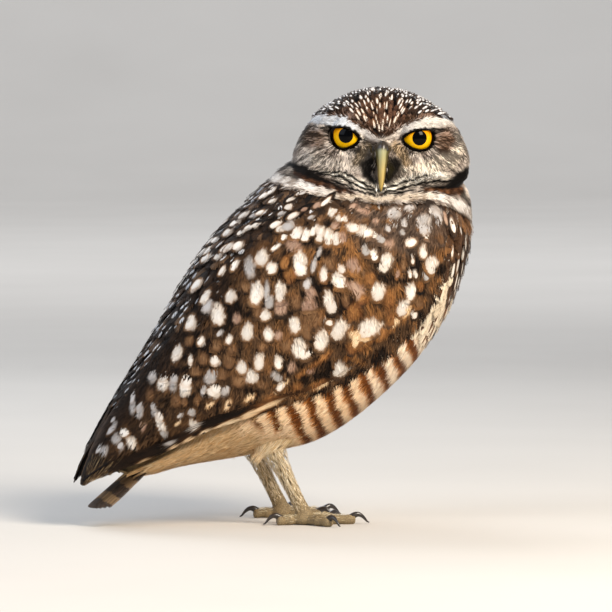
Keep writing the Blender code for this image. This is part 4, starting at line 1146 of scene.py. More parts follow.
def body_coat():
    for side, word in ((-1, "right"), (1, "left")):
        rng = np.random.default_rng(11 + side)
        known = WING_MARKS + BAND_MARKS if side < 0 else strayed(rng, WING_MARKS + BAND_MARKS, 2.2)
        wing_marks, band_marks = known[: len(WING_MARKS)], known[len(WING_MARKS) :]
        wing_marks = small_marks(rng, known) + wing_marks
        # back and mantle, between the wings' upper edges and up to the nape
        coat = Coat(f"mantle_{word}", "plumage_brown", PLUMAGE)
        tips = lattice(BODY, rng, (0.75, 6.6), 5.6, 4.9, 70, lambda s: (float(wing_edges(s)[1]) - 14 if s > 2.0 else 4 + 12 * (s - 0.9), 92))
        keep = ~((tips[0] < 1.1) & (tips[1] < 20))
        tract(coat, BODY, rng, side, (tips[0][keep], tips[1][keep]), mantle)
        coat.finish()
        # scapulars, over the root of the wing
        coat = Coat(f"scapulars_{word}", "plumage_brown", PLUMAGE)
        tips = lattice(BODY, rng, (1.15, 2.9), 5.6, 5.4, 30, lambda s: (-12 if s < 1.9 else 6, 62))
        tract(coat, BODY, rng, side, tips, scapular, known)
        marked(coat, BODY, rng, side, band_marks, ON_BODY, 0.8, known)
        coat.finish()
        # wing coverts
        coat = Coat(f"coverts_{word}", "plumage_brown", PLUMAGE)
        tips = lattice(BODY, rng, (2.1, 7.1), 6.2, 6.2, 20, lambda s: (float(wing_edges(s)[0]) + float(np.interp(s, (2.2, 3.6, 4.4, 5.2, 6, 7.2), (0, 0, 1.5, 5, 6, 15))), float(wing_edges(s)[1]) + float(np.interp(s, (5, 7), (2, -8)))))
        tract(coat, BODY, rng, side, tips, plain, known + EDGE_MARKS)
        tips = lattice(BODY, rng, (1.35, 2.35), 4.6, 4.8, -10, lambda s: (float(wing_edges(s)[0]) + 1, min(float(wing_edges(s)[1]) + 2, 14)))
        tract(coat, BODY, rng, side, tips, small_plain, known)
        marked(coat, BODY, rng, side, wing_marks, ON_BODY, 0.85, known)
        coat.finish()
        fine_vanes(rng, side, word, wing_marks + band_marks + EDGE_MARKS)
        # breast, flank, belly
        coat = Coat(f"breast_{word}", "plumage_cream", PLUMAGE)
        tips = lattice(TRUNK, rng, (0.7, 3.6), 5.2, 4.6, -60, lambda s: (-92, float(wing_edges(max(s, 1.35))[0]) + 4 if s > 1.3 else 0))
        u, v = on_map(TRUNK, *tips)
        keep = v < np.interp(u, (360, 400, 430), (300, 330, 352))
        keep |= (tips[1] < -72) & (tips[0] < 3.0)
        tract(coat, TRUNK, rng, side, (tips[0][keep], tips[1][keep]), breast)
        coat.finish()
        coat = Coat(f"flank_{word}", "plumage_cream", PLUMAGE)
        tips = lattice(TRUNK, rng, (2.5, 5.5), 5.4, 5.6, -50, lambda s: (-92, float(wing_edges(s)[0]) + 6))
        u, v = on_map(TRUNK, *tips)
        keep = v > np.interp(u, (360, 400, 430), (300, 330, 352)) - 6
        tract(coat, TRUNK, rng, side, (tips[0][keep], tips[1][keep]), flank)
        coat.finish()
        coat = Coat(f"undertail_{word}", "plumage_cream", PLUMAGE)
        tips = lattice(TRUNK, rng, (5.0, 7.95), 4.8, 4.6, -45, lambda s: (-92, 40))
        tract(coat, TRUNK, rng, side, tips, undertail)
        coat.finish()
        fine_down(rng, side, word)


body_coat()


# ---------------------------------------------------------------- long feathers of wing and tail
def quill_path(coat, hull, rng, side, s_of, a_of, length, half, base_height, look, barbs=26):
    """One long feather along a path of (s, angle) over the hull."""
    one = np.ones(1)
    L, W = one * length, one * half
    x, y, t, e, strip, faces = vane(rng, 1, barbs, L, W, look.get("fray", 0.12), look.get("blunt", 0.5), start=0.02, shoulder=look.get("shoulder", 0.14), ragged=0.02, bow=0.05)
    u = (x[0] / length).clip(0, 1)
    s, a = s_of(u), a_of(u)
    m = np.linalg.norm(hull.read(hull.da, s, a), axis=-1)
    a = a + y[0] / np.maximum(m, 0.12)
    h = base_height + look.get("rise", 0.0) * u + look.get("camber", 0.3) * (1 - (y[0] / half) ** 2) - 0.15 * t[0] ** 3 + 0.04 * (0.5 - e[0])
    p = hull.at(s, a, h)[None] * np.array((1, side, 1))
    bars = None
    if "bars" in look:
        bars = np.stack((x / look["bars"][0], np.abs(y) / W[:, None] * 1.0, np.broadcast_to(look["bars"][1], x.shape)), -1)
    data = feather_data(rng, x, y, t, strip, L, W, look["tint"], look["fringe"], look.get("edge", 0.5), look.get("root", 0.6), look["mark"], [], bars, variety=0.06)
    if "margin" in look:  # pale blocks along the outer edge
        step, fill, colour = look["margin"]
        block = ease(np.sin(2 * math.pi * (x / step + rng.random())), 0.35 - fill, 0.75 - fill)
        block = block * ease(-y / W[:, None], 0.10, 0.40)
        data["tint"] = blend(data["tint"], colour[:, None, :] * np.ones_like(data["tint"]), block)
    if "daubed" in look:
        across, down = face_map(p * np.array((1, -side, 1)))
        p = p - np.array((0, 0, 1.0)) * (0.45 * np.interp(across, (120, 160, 190, 214, 240, 262, 290), (3, 6, 3, 1.5, 2.5, 2.0, 0)))[..., None]
        across, down = face_map(p * np.array((1, -side, 1)))
        data["tint"] = daub(data["tint"].copy(), across, down, np.full(across.shape, rng.random()), WING_MARKS + EDGE_MARKS)
    if side < 0:
        faces = faces[:, ::-1]
    coat.add(p, faces, data, cell_uv(x, y, L, W), np.array([[float(s_of(0.5 * one)[0]), float(a_of(0.5 * one)[0]) * (1 if side > 0 else -1)]]))


def wing_quills():
    for side, word in ((-1, "right"), (1, "left")):
        rng = np.random.default_rng(71 + side)
        coat = Coat(f"flight_feathers_{word}", "plumage_brown", PLUMAGE)

        def along(share, s_from, s_to, drift=0.0):
            def s_of(u):
                return s_from + (s_to - s_from) * u

            def a_of(u):
                low, high = wing_edges(s_of(u))
                return low + (high - low) * (share + drift * u)

            return s_of, a_of

        def reach(s_of, a_of):
            ends = [BODY.at(s_of(q), a_of(q), np.zeros(1)) for q in (np.ones(1), np.zeros(1))]
            return float(np.linalg.norm(ends[0] - ends[1]))

        # primaries: near black with thin pale margins, the long ones reaching the wing's tip
        for i in range(9):
            f = i / 8
            end = 8.05 + 0.56 * math.sin(math.pi * (0.10 + 0.62 * f)) - 0.30 * max(f - 0.75, 0)
            s_of, a_of = along(0.08 + 0.80 * f, 5.2, end)
            look = dict(tint=pick(rng, ("0d0806", "1c120b"), 1), fringe=pick(rng, ("5c4229", "8a6a48"), 1), edge=0.35, mark=pick(rng, ("6b4c2c", "8f6c42"), 1), bars=(8.5, 0.25), blunt=0.45, root=0.8,
                        margin=(9.0, -0.35, pick(rng, ("b08a5c", "d8b888"), 1)))
            quill_path(coat, BODY, rng, side, s_of, a_of, reach(s_of, a_of), 5.2 - 1.2 * f, -1.1 + 1.0 * f, look, 30)
        # secondaries and tertials over them
        for i in range(12):
            f = i / 11
            s_of, a_of = along(0.03 + 0.90 * f, 4.3 + 0.3 * f, 6.75 + 0.95 * f**0.8)
            look = dict(tint=pick(rng, ("1d130c", "3a2717"), 1), fringe=pick(rng, ("2c1e13", "46321f"), 1), edge=0.3, mark=pick(rng, ("4e3822", "725433"), 1), bars=(9.0, 0.30), blunt=0.5, root=0.7,
                        margin=(8.5, -0.25, pick(rng, ("4a3826", "7a6044"), 1)))
            quill_path(coat, BODY, rng, side, s_of, a_of, reach(s_of, a_of), 6.2, -0.5 + 0.45 * f, look, 26)
        # the long outer feathers stacked along the wing's lower edge
        for i in range(17):
            row = i % 3
            s_from = 2.45 + 0.25 * i
            s_of, a_of = along((0.006, 0.032, 0.060)[row] + rng.normal(0, 0.005), s_from, s_from + 1.35)
            warm = float(ease(s_from, 4.6, 3.0))
            tint = blend(pick(rng, ("120b06", "26180d"), 1), pick(rng, ("2e1a0a", "5a3716"), 1), warm * 0.8)
            look = dict(tint=tint, fringe=tint * 1.5, edge=0.3, mark=tint * 2.0, bars=(7.0, 0.2), blunt=0.5, root=0.6, rise=0.8, fray=0.3, daubed=True)
            quill_path(coat, BODY, rng, side, s_of, a_of, reach(s_of, a_of), 2.9 - 1.1 * warm, 0.1 + 0.30 * row - 0.6 * warm, look, 44)
        coat.finish()


wing_quills()


def tail_feathers():
    """Twelve barred tail feathers in a shallow roof, the middle pair on top."""
    rng = np.random.default_rng(5)
    coat = Coat("tail_feathers", "plumage_brown", PLUMAGE)
    way = unit(TAIL_TIP - TAIL_ROOT)
    up = unit(np.cross(np.array((0, 1.0, 0)), way))
    up = up if up[2] > 0 else -up
    total = float(np.linalg.norm(TAIL_TIP - TAIL_ROOT))
    for i in sorted(range(12), key=lambda i: -abs(i - 5.5)):
        f = (i - 5.5) / 5.5
        length = np.ones(1) * (total * (0.99 - 0.055 * abs(f) ** 2))
        half = np.ones(1) * 4.9
        x, y, t, e, strip, faces = vane(rng, 1, 30, length, half, 0.10, 0.42, start=0.02, shoulder=0.12, ragged=0.02, bow=0.05)
        u = (x / length[:, None]).clip(0, 1)
        yy = y * (0.55 + 0.45 * u) + f * (3 + 12.6 * u**0.9)
        over = (5.5 - abs(i - 5.5)) / 5.5
        h = (1.9 - 1.5 * u) * (0.2 + 0.8 * over) + 0.28 * (1 - (y / half[:, None]) ** 2) - 2.2 * (yy / 20) ** 2 * (0.4 + 0.6 * u) - 0.5 * (1 - over)
        p = TAIL_ROOT + way * x[..., None] + np.array((0, 1.0, 0)) * yy[..., None] + up * h[..., None]
        bars = np.stack((x / 11.0 + 0.3, np.abs(y) / half[:, None] + 0.25, np.full(x.shape, 0.75)), -1)
        tint, fringe, mark = pick(rng, ("1c120a", "33221a"), 1), pick(rng, ("5c4530", "7d6040"), 1), pick(rng, ("8a6a44", "a8865c"), 1)
        data = feather_data(rng, x, y, t, strip, length, half, tint, fringe, 0.45, 0.8, mark, [], bars, variety=0.05)
        coat.add(p, faces, data, cell_uv(x, y, length, half), np.array([[float(i), 0.0]]))
    obj = coat.finish()
    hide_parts("tail")


tail_feathers()


# ---------------------------------------------------------------- surfaces grown from the solids
def melted(name, parts, voxel, rounds, grow, shrink):
    """Copies of solids made one closed skin: grown, remeshed, smoothed, then drawn back in."""
    bm = bmesh.new()
    for part in parts:
        bm.from_mesh(part.data if hasattr(part, "data") else part)
    me = bpy.data.meshes.new(name)
    bm.to_mesh(me)
    bm.free()
    obj = bpy.data.objects.new(name, me)
    bpy.context.scene.collection.objects.link(obj)
    m = obj.modifiers.new("grow", "DISPLACE")
    m.strength, m.mid_level = grow * MM, 0.0
    m = obj.modifiers.new("remesh", "REMESH")
    m.mode, m.voxel_size = "VOXEL", voxel * MM
    m = obj.modifiers.new("smooth", "SMOOTH")
    m.factor, m.iterations = 0.5, rounds
    m = obj.modifiers.new("shrink", "DISPLACE")
    m.strength, m.mid_level = shrink * MM, 0.0
    depsgraph = bpy.context.evaluated_depsgraph_get()
    done = bpy.data.meshes.new_from_object(obj.evaluated_get(depsgraph))
    bpy.data.objects.remove(obj)
    bm = bmesh.new()
    bm.from_mesh(done)
    bm.verts.ensure_lookup_table()
    # only the largest body is kept
    seen, best = set(), []
    for start in bm.verts:
        if start in seen:
            continue
        group, stack = [start], [start]
        seen.add(start)
        while stack:
            for edge in stack.pop().link_edges:
                for w in edge.verts:
                    if w not in seen:
                        seen.add(w)
                        group.append(w)
                        stack.append(w)
        if len(group) > len(best):
            best = group
    keep = set(best)
    bmesh.ops.delete(bm, geom=[w for w in bm.verts if w not in keep], context="VERTS")
    bmesh.ops.triangulate(bm, faces=bm.faces)
    me = bpy.data.meshes.new(name)
    bm.to_mesh(me)
    bm.free()
    me.shade_smooth()
    return me


def remeshed(name, parts, voxel, rounds, inflate, material):
    me = melted(name, parts, voxel, rounds, *inflate)
    obj = bpy.data.objects.new(name, me)
    bpy.context.scene.collection.objects.link(obj)
    me.materials.append(material)
    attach(obj, "root")
    return obj


def mesh_points(me, what="co"):
    data = np.zeros(len(me.vertices) * 3, np.float32)
    me.vertices.foreach_get(what, data)
    data = data.reshape(-1, 3).astype(float)
    return data / MM + ORIGIN if what == "co" else data


class Shell:
    """The smooth outside of head, neck and trunk taken together."""

    def __init__(self):
        me = melted("shell", [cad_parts[k] for k in ("trunk", "neck", "head", "wing_left", "wing_right")], 1.2, 8, 0.5, -0.5)
        self.p, self.n = mesh_points(me), mesh_points(me, "normal")
        self.f = np.array([tuple(q.vertices) for q in me.polygons])
        self.tree = bvhtree.BVHTree.FromPolygons(self.p.tolist(), self.f.tolist())
        a, b, c = (self.p[self.f[:, i]] for i in range(3))
        self.area = np.linalg.norm(np.cross(b - a, c - a), axis=1) / 2

    def scattered(self, rng, n, on):
        """n places on the triangles whose middles pass a test: points and normals."""
        middle = self.p[self.f].mean(1)
        weight = self.area * on(middle, unit(self.n[self.f].mean(1)))
        pick_ = rng.choice(len(self.f), n, p=weight / weight.sum())
        b = rng.random((n, 2))
        b = np.where(b.sum(1, keepdims=True) > 1, 1 - b, b)
        w = np.stack((1 - b.sum(1), b[:, 0], b[:, 1]), -1)[..., None]
        return (self.p[self.f[pick_]] * w).sum(1), unit((self.n[self.f[pick_]] * w).sum(1))

    def above(self, q, h):
        """Points q dropped on the surface and lifted h."""
        flat, out = q.reshape(-1, 3), np.zeros((q.size // 3, 3))
        high = np.broadcast_to(h, q.shape[:-1]).reshape(-1)
        for i, v in enumerate(flat):
            at, normal, index, _ = self.tree.find_nearest(v)
            tri = self.f[index]
            d = 1 / (np.linalg.norm(self.p[tri] - np.array(at), axis=1) + 0.15)
            n = (self.n[tri] * d[:, None]).sum(0)
            out[i] = np.array(at) + n / np.linalg.norm(n) * high[i]
        return out.reshape(q.shape)


SHELL = Shell()


# ---------------------------------------------------------------- head feathers
def ray(u, v):
    """The line of places seen at (u, v) of the face map: a point, and its step for each mm towards the front."""
    flat = (np.asarray(u)[..., None] - 306) * 0.45 * RIGHT + (306 - np.asarray(v))[..., None] * 0.45 * UP
    return AIM + ORIGIN + flat, BACK - flat / FAR


def on_ball(u, v, centre, radius):
    a, b = ray(u, v)
    q = a - centre
    bb, qb, qq = dot(b, b), dot(q, b), dot(q, q) - radius**2
    root = np.sqrt(np.maximum(qb**2 - bb * qq, 0))
    return a + b * ((-qb + root) / bb)[..., None]


def eye_middle(side):
    way = np.array((math.sin(math.radians(EYE_OUT_DEG)) * side, math.cos(math.radians(EYE_OUT_DEG)), 0.0))
    return np.array((EYE_X * side, EYE_FRONT, EYE_Z)) - way * EYE_R, way


def head_lay(p0, lie, x, y, h):
    n = head_normal(p0)
    t1 = unit(lie - n * dot(lie, n)[..., None])
    t2 = np.cross(n, t1)
    q = p0[:, None] + x[..., None] * t1[:, None] + y[..., None] * t2[:, None]
    return from_head(head_point(q, h))


def sphere_directions(rng, n):
    i = np.arange(n) + 0.5
    z = 1 - 2 * i / n
    a = math.pi * (1 + 5**0.5) * i
    d = np.stack((np.sqrt(1 - z * z) * np.cos(a), np.sqrt(1 - z * z) * np.sin(a), z), -1)
    return unit(d + rng.normal(0, 0.55 / math.sqrt(n) * 1.9, d.shape))


BROW_TOP = np.array(((296, 140), (303, 126), (308, 118), (320, 113), (340, 110.5), (350, 113.5), (362, 125), (372, 133), (380, 137), (388, 133), (400, 125), (410, 118), (425, 113), (440, 115), (452, 120), (462, 132), (468, 142)), float)
EYE_LEFT = np.array(((329.6, 136.2), (329.9, 132.6), (331.2, 129.6), (336, 128.5), (343, 128.3), (348.5, 130.1), (353.5, 133.4), (357.6, 138.8), (355.6, 142.2), (351, 145.4), (343.5, 148.0), (336.2, 145.6), (331.6, 141.4)), float)
EYE_RIGHT = np.array(((404.0, 139.9), (406.4, 136.6), (410.6, 133.6), (416.8, 131.5), (424.8, 130.5), (431.0, 130.8), (433.2, 134.2), (433.2, 138.6), (431.0, 144.0), (426.4, 147.9), (420, 149.2), (413.4, 147.6), (407.8, 143.9)), float)


def stroke(u, v, points, soft=1.3):
    """1 inside a line of varying half width (across, down, half width), 0 outside it."""
    best = np.full(u.shape, -1e9)
    for (x0, y0, w0), (x1, y1, w1) in zip(points, points[1:]):
        dx, dy = x1 - x0, y1 - y0
        t = np.clip(((u - x0) * dx + (v - y0) * dy) / (dx * dx + dy * dy), 0, 1)
        d = np.hypot(u - x0 - t * dx, v - y0 - t * dy)
        best = np.maximum(best, (w0 + (w1 - w0) * t) - d)
    return ease(best, -soft, soft)


def patch(u, v, x, y, rx, ry, soft=0.35):
    return ease(np.hypot((u - x) / rx, (v - y) / ry), 1 + soft, 1 - soft)


def outside(u, v, outline, margin):
    """How far a place is outside a closed outline, in steps; negative inside."""
    inside = np.zeros(u.shape, bool)
    near = np.full(u.shape, 1e9)
    for (x0, y0), (x1, y1) in zip(outline, np.roll(outline, -1, 0)):
        dx, dy = x1 - x0, y1 - y0
        t = np.clip(((u - x0) * dx + (v - y0) * dy) / (dx * dx + dy * dy), 0, 1)
        near = np.minimum(near, np.hypot(u - x0 - t * dx, v - y0 - t * dy))
        cross = ((y0 > v) != (y1 > v)) & (u < (x1 - x0) * (v - y0) / (y1 - y0 + 1e-12) + x0)
        inside ^= cross
    return np.where(inside, -near, near) - margin


BROWS = (
    ((309, 121.5, 1.4), (318, 119.6, 4.2), (330, 120.2, 5.6), (343, 122.0, 5.0), (352, 126.6, 3.2), (362, 132.2, 2.5), (372, 137.0, 2.2), (381, 139.6, 2.0)),
    ((454, 123.0, 1.6), (445, 121.9, 4.0), (434, 123.2, 5.5), (420, 125.0, 5.2), (409, 128.2, 3.8), (400, 132.0, 2.7), (391, 136.6, 2.2), (382, 139.6, 2.0)),
)
BROW_LINE = np.array(sorted({(x, y) for brow in BROWS for x, y, _ in brow}), float)
WHITE_BAND = ((272, 177, 4.0), (283, 179.5, 4.6), (303, 185, 4.2), (325, 192.2, 3.2), (347, 196.8, 2.6), (376, 199, 2.3), (402, 198, 2.9), (424, 195, 3.4), (441, 197.2, 3.4), (457, 203.5, 4.4), (469, 212, 4.6), (476, 219, 4.0))
DARK_LEFT = ((291, 164.5, 2.6), (299, 168.5, 4.8), (309, 173.5, 4.4), (320, 179, 2.6), (334, 184.5, 1.6), (346, 189.5, 1.2))
DARK_RIGHT = ((468, 170, 3.6), (462, 176.5, 6.6), (455, 183.5, 5.2), (445, 187.0, 2.4), (432, 187.5, 1.4))
BROWN_LEFT = ((296, 172, 4.0), (312, 179, 6.0), (328, 186.5, 5.6), (344, 191.5, 3.4), (354, 194, 1.6))
BROWN_RIGHT = ((460, 190, 4.5), (448, 190.5, 5.0), (437, 190.5, 3.6), (426, 189.5, 2.0))
LINES = (
    ((303, 169, 1.3), (322, 172.5, 1.0), (340, 171.8, 0.9), (352, 176, 0.9), (363, 182.5, 0.9), (374, 189.5, 0.8)),
    ((318, 174, 0.9), (340, 176.8, 0.9), (351, 182, 0.9), (362, 188, 0.9), (376, 192.3, 0.9)),
    ((330, 180, 0.5), (345, 185, 0.6), (358, 191, 0.6), (374, 195, 0.7)),
    ((382, 189.3, 0.8), (396, 185.5, 0.9), (408, 181, 0.9), (418, 177.5, 0.8), (430, 174.5, 0.7)),
    ((381, 192.8, 0.9), (396, 190.5, 0.9), (410, 186, 0.9), (425, 182.5, 0.8), (440, 181.2, 0.8), (454, 180.5, 0.9)),
    ((380, 195, 0.7), (398, 193, 0.6), (414, 189, 0.5)),
)


def bold(u, v):
    """Where the face's marks are plain and strong: brows, bands, lines and the dark lores."""
    most = np.maximum(stroke(u, v, BROWS[0], 1.5), stroke(u, v, BROWS[1], 1.5))
    for path in (WHITE_BAND, DARK_LEFT, DARK_RIGHT, *LINES):
        most = np.maximum(most, stroke(u, v, path, 1.4) * (0.6 if path in (WHITE_BAND, DARK_LEFT) else 1.0))
    return most


def face_colour(u, v, streak=0.0):
    """The face's colours from a few named marks on the face map; streak is -1 to 1 from dark strands to pale ones."""
    shape = u.shape
    u, v = u + 1.5 * noise2(u / 2.5, v / 5, 17) * ease(v, 190, 184), v + 1.2 * noise2(u / 2.5, v / 5, 18)
    n1, n2 = noise2(u / 9, v / 5, 3), noise2(u / 4, v / 3, 4)
    pale, deep = ease(streak, 0.0, 0.9), ease(streak, 0.0, -0.9)

    def c(code):
        return np.broadcast_to(rgb(code), (*shape, 3))

    def lay_on(low, code, amount):
        return blend(low, c(code), amount)

    out = blend(c("6f6258"), c("a59a8e"), ease(n1 + 0.6 * n2, -0.8, 0.8))
    # here and below, marks on the right of the face map are painted warmer and lighter than their twins on the left:
    # painted warm light on the right, painted cool shade on the left
    out = lay_on(out, "bdb3a6", 0.6 * stroke(u, v, ((300, 158, 4), (330, 163, 5), (352, 167, 5)), 4))
    out = lay_on(out, "cdbfac", 0.8 * stroke(u, v, ((405, 170, 4), (430, 166, 6), (450, 160, 8), (461, 150, 6)), 4))
    out = lay_on(out, "57402e", 0.9 * patch(u, v, 315, 138, 13, 10, 0.45))
    out = lay_on(out, "61422a", 0.85 * patch(u, v, 445, 141, 10, 12, 0.45))
    out = lay_on(out, "4a3d33", 0.8 * stroke(u, v, ((297, 134, 4), (304, 127, 5), (312, 126, 3)), 3))
    out = lay_on(out, "7b6a52", 0.85 * stroke(u, v, ((366, 146, 5), (362, 153, 6), (356, 163, 4)), 3))
    out = lay_on(out, "8a7250", 0.85 * stroke(u, v, ((396, 146, 5), (402, 154, 6), (407, 163, 4)), 3))
    out = lay_on(out, "241c15", 0.85 * patch(u, v, 354.5, 150.5, 5, 4, 0.5))
    out = lay_on(out, "33271c", 0.6 * patch(u, v, 410, 152, 5, 3, 0.5))
    out = lay_on(out, "d9cfbf", 0.9 * stroke(u, v, ((322, 172, 2), (335, 174, 3), (350, 180, 5), (370, 189, 4.5), (390, 189, 4.5), (408, 181, 5), (430, 176, 4.5), (446, 176, 3)), 3))
    above = ease(np.interp(u, BROW_LINE[:, 0], BROW_LINE[:, 1]) - v, 0.5, 2.5) * ease(np.abs(u - 381), 74, 70)
    out = blend(out, c("5a4130"), above)
    # pale and dark strands over that
    out = blend(out, out * 1.9 + 0.08, 0.85 * pale)
    out = blend(out, out * 0.20, 0.88 * deep)
    # lores, dark and streaked: the dark bristles beside the bill, with painted shade where they stand off the face
    ragged = 2.6 * streak * np.ones(shape)
    lore = np.maximum(stroke(u + ragged * 0.6, v, ((372.5, 158, 1.5), (366.5, 165, 6.2), (368.5, 173, 5.6), (374, 182, 2.4)), 2.2), stroke(u - ragged * 0.6, v, ((390, 158, 1.5), (395.5, 165, 6.4), (392.0, 173, 5.4), (387, 182, 2.4)), 2.2))
    out = lay_on(out, "0d0a07", 0.96 * lore)
    out = lay_on(out, "332d14", 0.6 * stroke(u, v, ((388.5, 160, 1.5), (391.5, 168, 2.2), (388, 177, 1.2)), 2))
    out = lay_on(out, "0a0705", 0.95 * np.maximum(patch(u, v, 372.4, 149.6, 2.6, 4.2, 0.3), patch(u, v, 388.6, 149.6, 2.6, 4.2, 0.3)))
    out = lay_on(out, "1b130c", 0.9 * patch(u, v, 381, 143.4, 6.5, 2.4, 0.4))
    out = lay_on(out, "4c3f26", 0.8 * stroke(u, v, ((370.5, 146, 1.5), (374, 154, 1.5), (374, 160, 1)), 1.5))
    out = lay_on(out, "4c3f26", 0.8 * stroke(u, v, ((391, 146, 1.5), (387.5, 154, 1.5), (387.5, 160, 1)), 1.5))
    for line in LINES:
        out = lay_on(out, "070504", stroke(u, v, [(x, y, w + 0.35) for x, y, w in line], 0.5))
    # the brown and black under the cheeks
    out = blend(out, blend(c("5f3b22"), c("2a180d"), np.maximum(deep, ease(n2, 0.1, -0.6))), 0.95 * stroke(u, v, BROWN_LEFT, 1.6))
    out = blend(out, blend(c("7a4d2b"), c("38200f"), np.maximum(deep, ease(n2, 0.1, -0.6))), 0.95 * stroke(u, v, BROWN_RIGHT, 1.6))
    out = lay_on(out, "0c0806", stroke(u, v, DARK_LEFT, 1.6))
    out = lay_on(out, "0b0705", stroke(u, v, DARK_RIGHT, 1.6))
    # the pale band, broken by darker strands, and brown below it
    band = stroke(u, v + 1.2 * streak, WHITE_BAND, 1.4)
    middle = ease(np.abs(u - 380), 70, 30)
    out = blend(out, blend(blend(c("efe9e2"), c("dccdb9"), middle), c("7d6650"), 0.85 * deep), band)
    out = blend(out, c("3d2818") * (1 + 0.35 * n2[..., None]), 0.95 * ease(under_band(u, v) + 1.5 * n2, -0.6, 1.6))
    # brows, streaked at their upper edges; the left brow is painted a cool grey-white and the right a warm white:
    # painted cool shade on the left, painted warm light on the right
    for brow, code, thin in zip(BROWS, ("d9dcdf", "e6dfd5"), ((345, 375), (413, 387))):
        inner = ease(u, *thin)
        tone = blend(c(code), c("c9b8a6"), 0.6 * inner)
        out = blend(out, blend(tone, c("4c3c30"), 0.75 * deep), stroke(u, v + 1.8 * streak, brow, 1.0))
    # a black band along the top of each eye: the lids' own black edge and painted shadow of the overhanging brow
    out = lay_on(out, "080605", 0.95 * stroke(u, v, ((321, 128.6, 0.8), (327, 127.4, 1.6), (336, 126.4, 1.2), (348, 127.6, 1.3), (356, 132.5, 1.5), (361.5, 139.5, 1.2)), 0.8))
    out = lay_on(out, "080605", 0.95 * stroke(u, v, ((399.5, 140, 1.0), (404.5, 134.5, 1.3), (413, 130.7, 1.0), (425, 128.6, 1.0), (435, 129.2, 1.4), (445, 129.6, 0.8)), 0.8))
    ring = np.minimum(outside(u, v, EYE_LEFT, 0), outside(u, v, EYE_RIGHT, 0))
    return lay_on(out, "080605", 0.97 * ease(ring, 2.7, 1.3))


def face_lie(u, v):
    """Which way the small feathers of the face lie, on the face map."""
    left = u < 381
    sg = np.where(left, -1.0, 1.0)
    ex, ey = np.where(left, 344.0, 418.0), 138.0
    d = np.stack((u - ex, v - ey), -1)
    out = unit(d)
    away = unit(np.stack((u - 380, v - 141), -1))
    inner = ease(np.abs(u - 380.5), 36, 24) * ease(v, 142, 150)
    out = blend(out, unit(np.stack((sg * 0.50, np.ones_like(u)), -1)), inner)
    low = ease(v + np.abs(u - 380) * 0.18, 177, 186)
    droop = ease(u, 436, 462)
    sideways = unit(np.stack((sg, -0.22 + droop * 0.9), -1))
    sideways = blend(np.stack((np.zeros_like(u), np.ones_like(u)), -1), sideways, ease(np.abs(u - 380.5), 1, 11) * ease(v, 215, 190))
    out = blend(out, unit(sideways), low)
    brow = np.maximum(stroke(u, v, [(x, y, w + 1.5) for x, y, w in BROWS[0]], 2), stroke(u, v, [(x, y, w + 1.5) for x, y, w in BROWS[1]], 2))
    along = np.where(left, np.interp(u, (310, 335, 350, 380), (0.25, -0.05, -0.35, -0.6)), np.interp(u, (382, 410, 430, 452), (-0.6, -0.40, -0.08, 0.2)))
    out = blend(out, unit(np.stack((sg, along), -1)), brow)
    side = ease(np.abs(u - 381), 74, 92)
    out = blend(out, unit(np.stack((sg * 0.35, np.ones_like(u)), -1)), side * 0.6)
    return unit(out)


def from_map(lie):
    """A direction on the face map as one in head coordinates."""
    return (lie[..., 0:1] * RIGHT - lie[..., 1:2] * UP) @ FACE


def head_coat():
    rng = np.random.default_rng(21)
    # crown and nape: small feathers, each with a pale drop
    coat = Coat("crown", "plumage_head", PLUMAGE)
    d = sphere_directions(rng, 3300)
    p = head_point(d, np.zeros(len(d)))
    u, v = face_map(from_head(p))
    front = p[:, 1] > 2
    crown = v < np.interp(u, BROW_TOP[:, 0], BROW_TOP[:, 1]) - 0.5
    on = np.where(front, crown & (u > 300) & (u < 462), True) & (p[:, 2] > -17)
    side_face = (~front) & (p[:, 1] > -9) & (p[:, 2] < 12)
    on &= ~side_face
    p, u, v, front = p[on], u[on], v[on], front[on]
    n = len(p)
    apart = np.hypot(u - 380, (v - 139))
    near = np.where(front, ease(apart, 52, 20), 0.0)
    top = np.where(front, ease(apart, 30, 50), 1.0)
    behind = ease(p[:, 1], 0, -22)
    lie = p - np.array((0, 25.0, 5.0))
    length = rand(rng, n, 4.6, 5.8) + 3.5 * behind
    half = rand(rng, n, 1.05, 1.4) + 1.0 * behind
    x, y, t, e, strip, faces = vane(rng, n, 6, length, half, 0.5, 0.7, ragged=0.12)
    h = heights(x, y, t, e, length, half, np.full(n, -1.1), rand(rng, n, 0.0, 0.5), 0.25, tilt=0.03, droop=0.15)
    pts = head_lay(p - unit(lie) * 0.0, lie, x, y, h)
    tint = blend(pick(rng, ("4d3222", "74503a"), n), pick(rng, ("1a120d", "3d2c20"), n), np.clip(0.25 + 0.75 * ease(apart, 26, 44) * front + 0.75 * ~front, 0, 1))
    tint = blend(tint, pick(rng, ("4a3120", "644430"), n), behind * 0.7)
    rx = rand(rng, n, 0.55, 1.35) * (1.1 + 1.3 * near + 0.5 * behind)
    ry = rand(rng, n, 0.6, 1.25) * (0.42 + 0.10 * top + 0.25 * behind)
    on_spot = rng.random(n) < (0.72 - 0.16 * near - 0.22 * behind)
    spots = [spot(x, y, length - rx - rand(rng, n, 0.2, 0.7), rng.normal(0, 0.15, n), rx, ry * rand(rng, n, 0.85, 1.15), 0.0)]
    spots[0][~on_spot] = 9.0
    mark = blend(pick(rng, ("c9cbce", "e4e5e6"), n), pick(rng, ("d9cbb9", "ece1d3"), n), near)
    data = feather_data(rng, x, y, t, strip, length, half, tint, tint * 1.2, 0.3, 0.30, mark, spots, variety=0.2)
    place = np.stack((np.degrees(np.arctan2(p[:, 2], np.hypot(p[:, 0], p[:, 1]))), np.degrees(np.arctan2(p[:, 1], p[:, 0]))), -1)
    coat.add(pts, faces, data, cell_uv(x, y, length, half), place)
    obj = coat.finish()

    face_coat(np.random.default_rng(22))


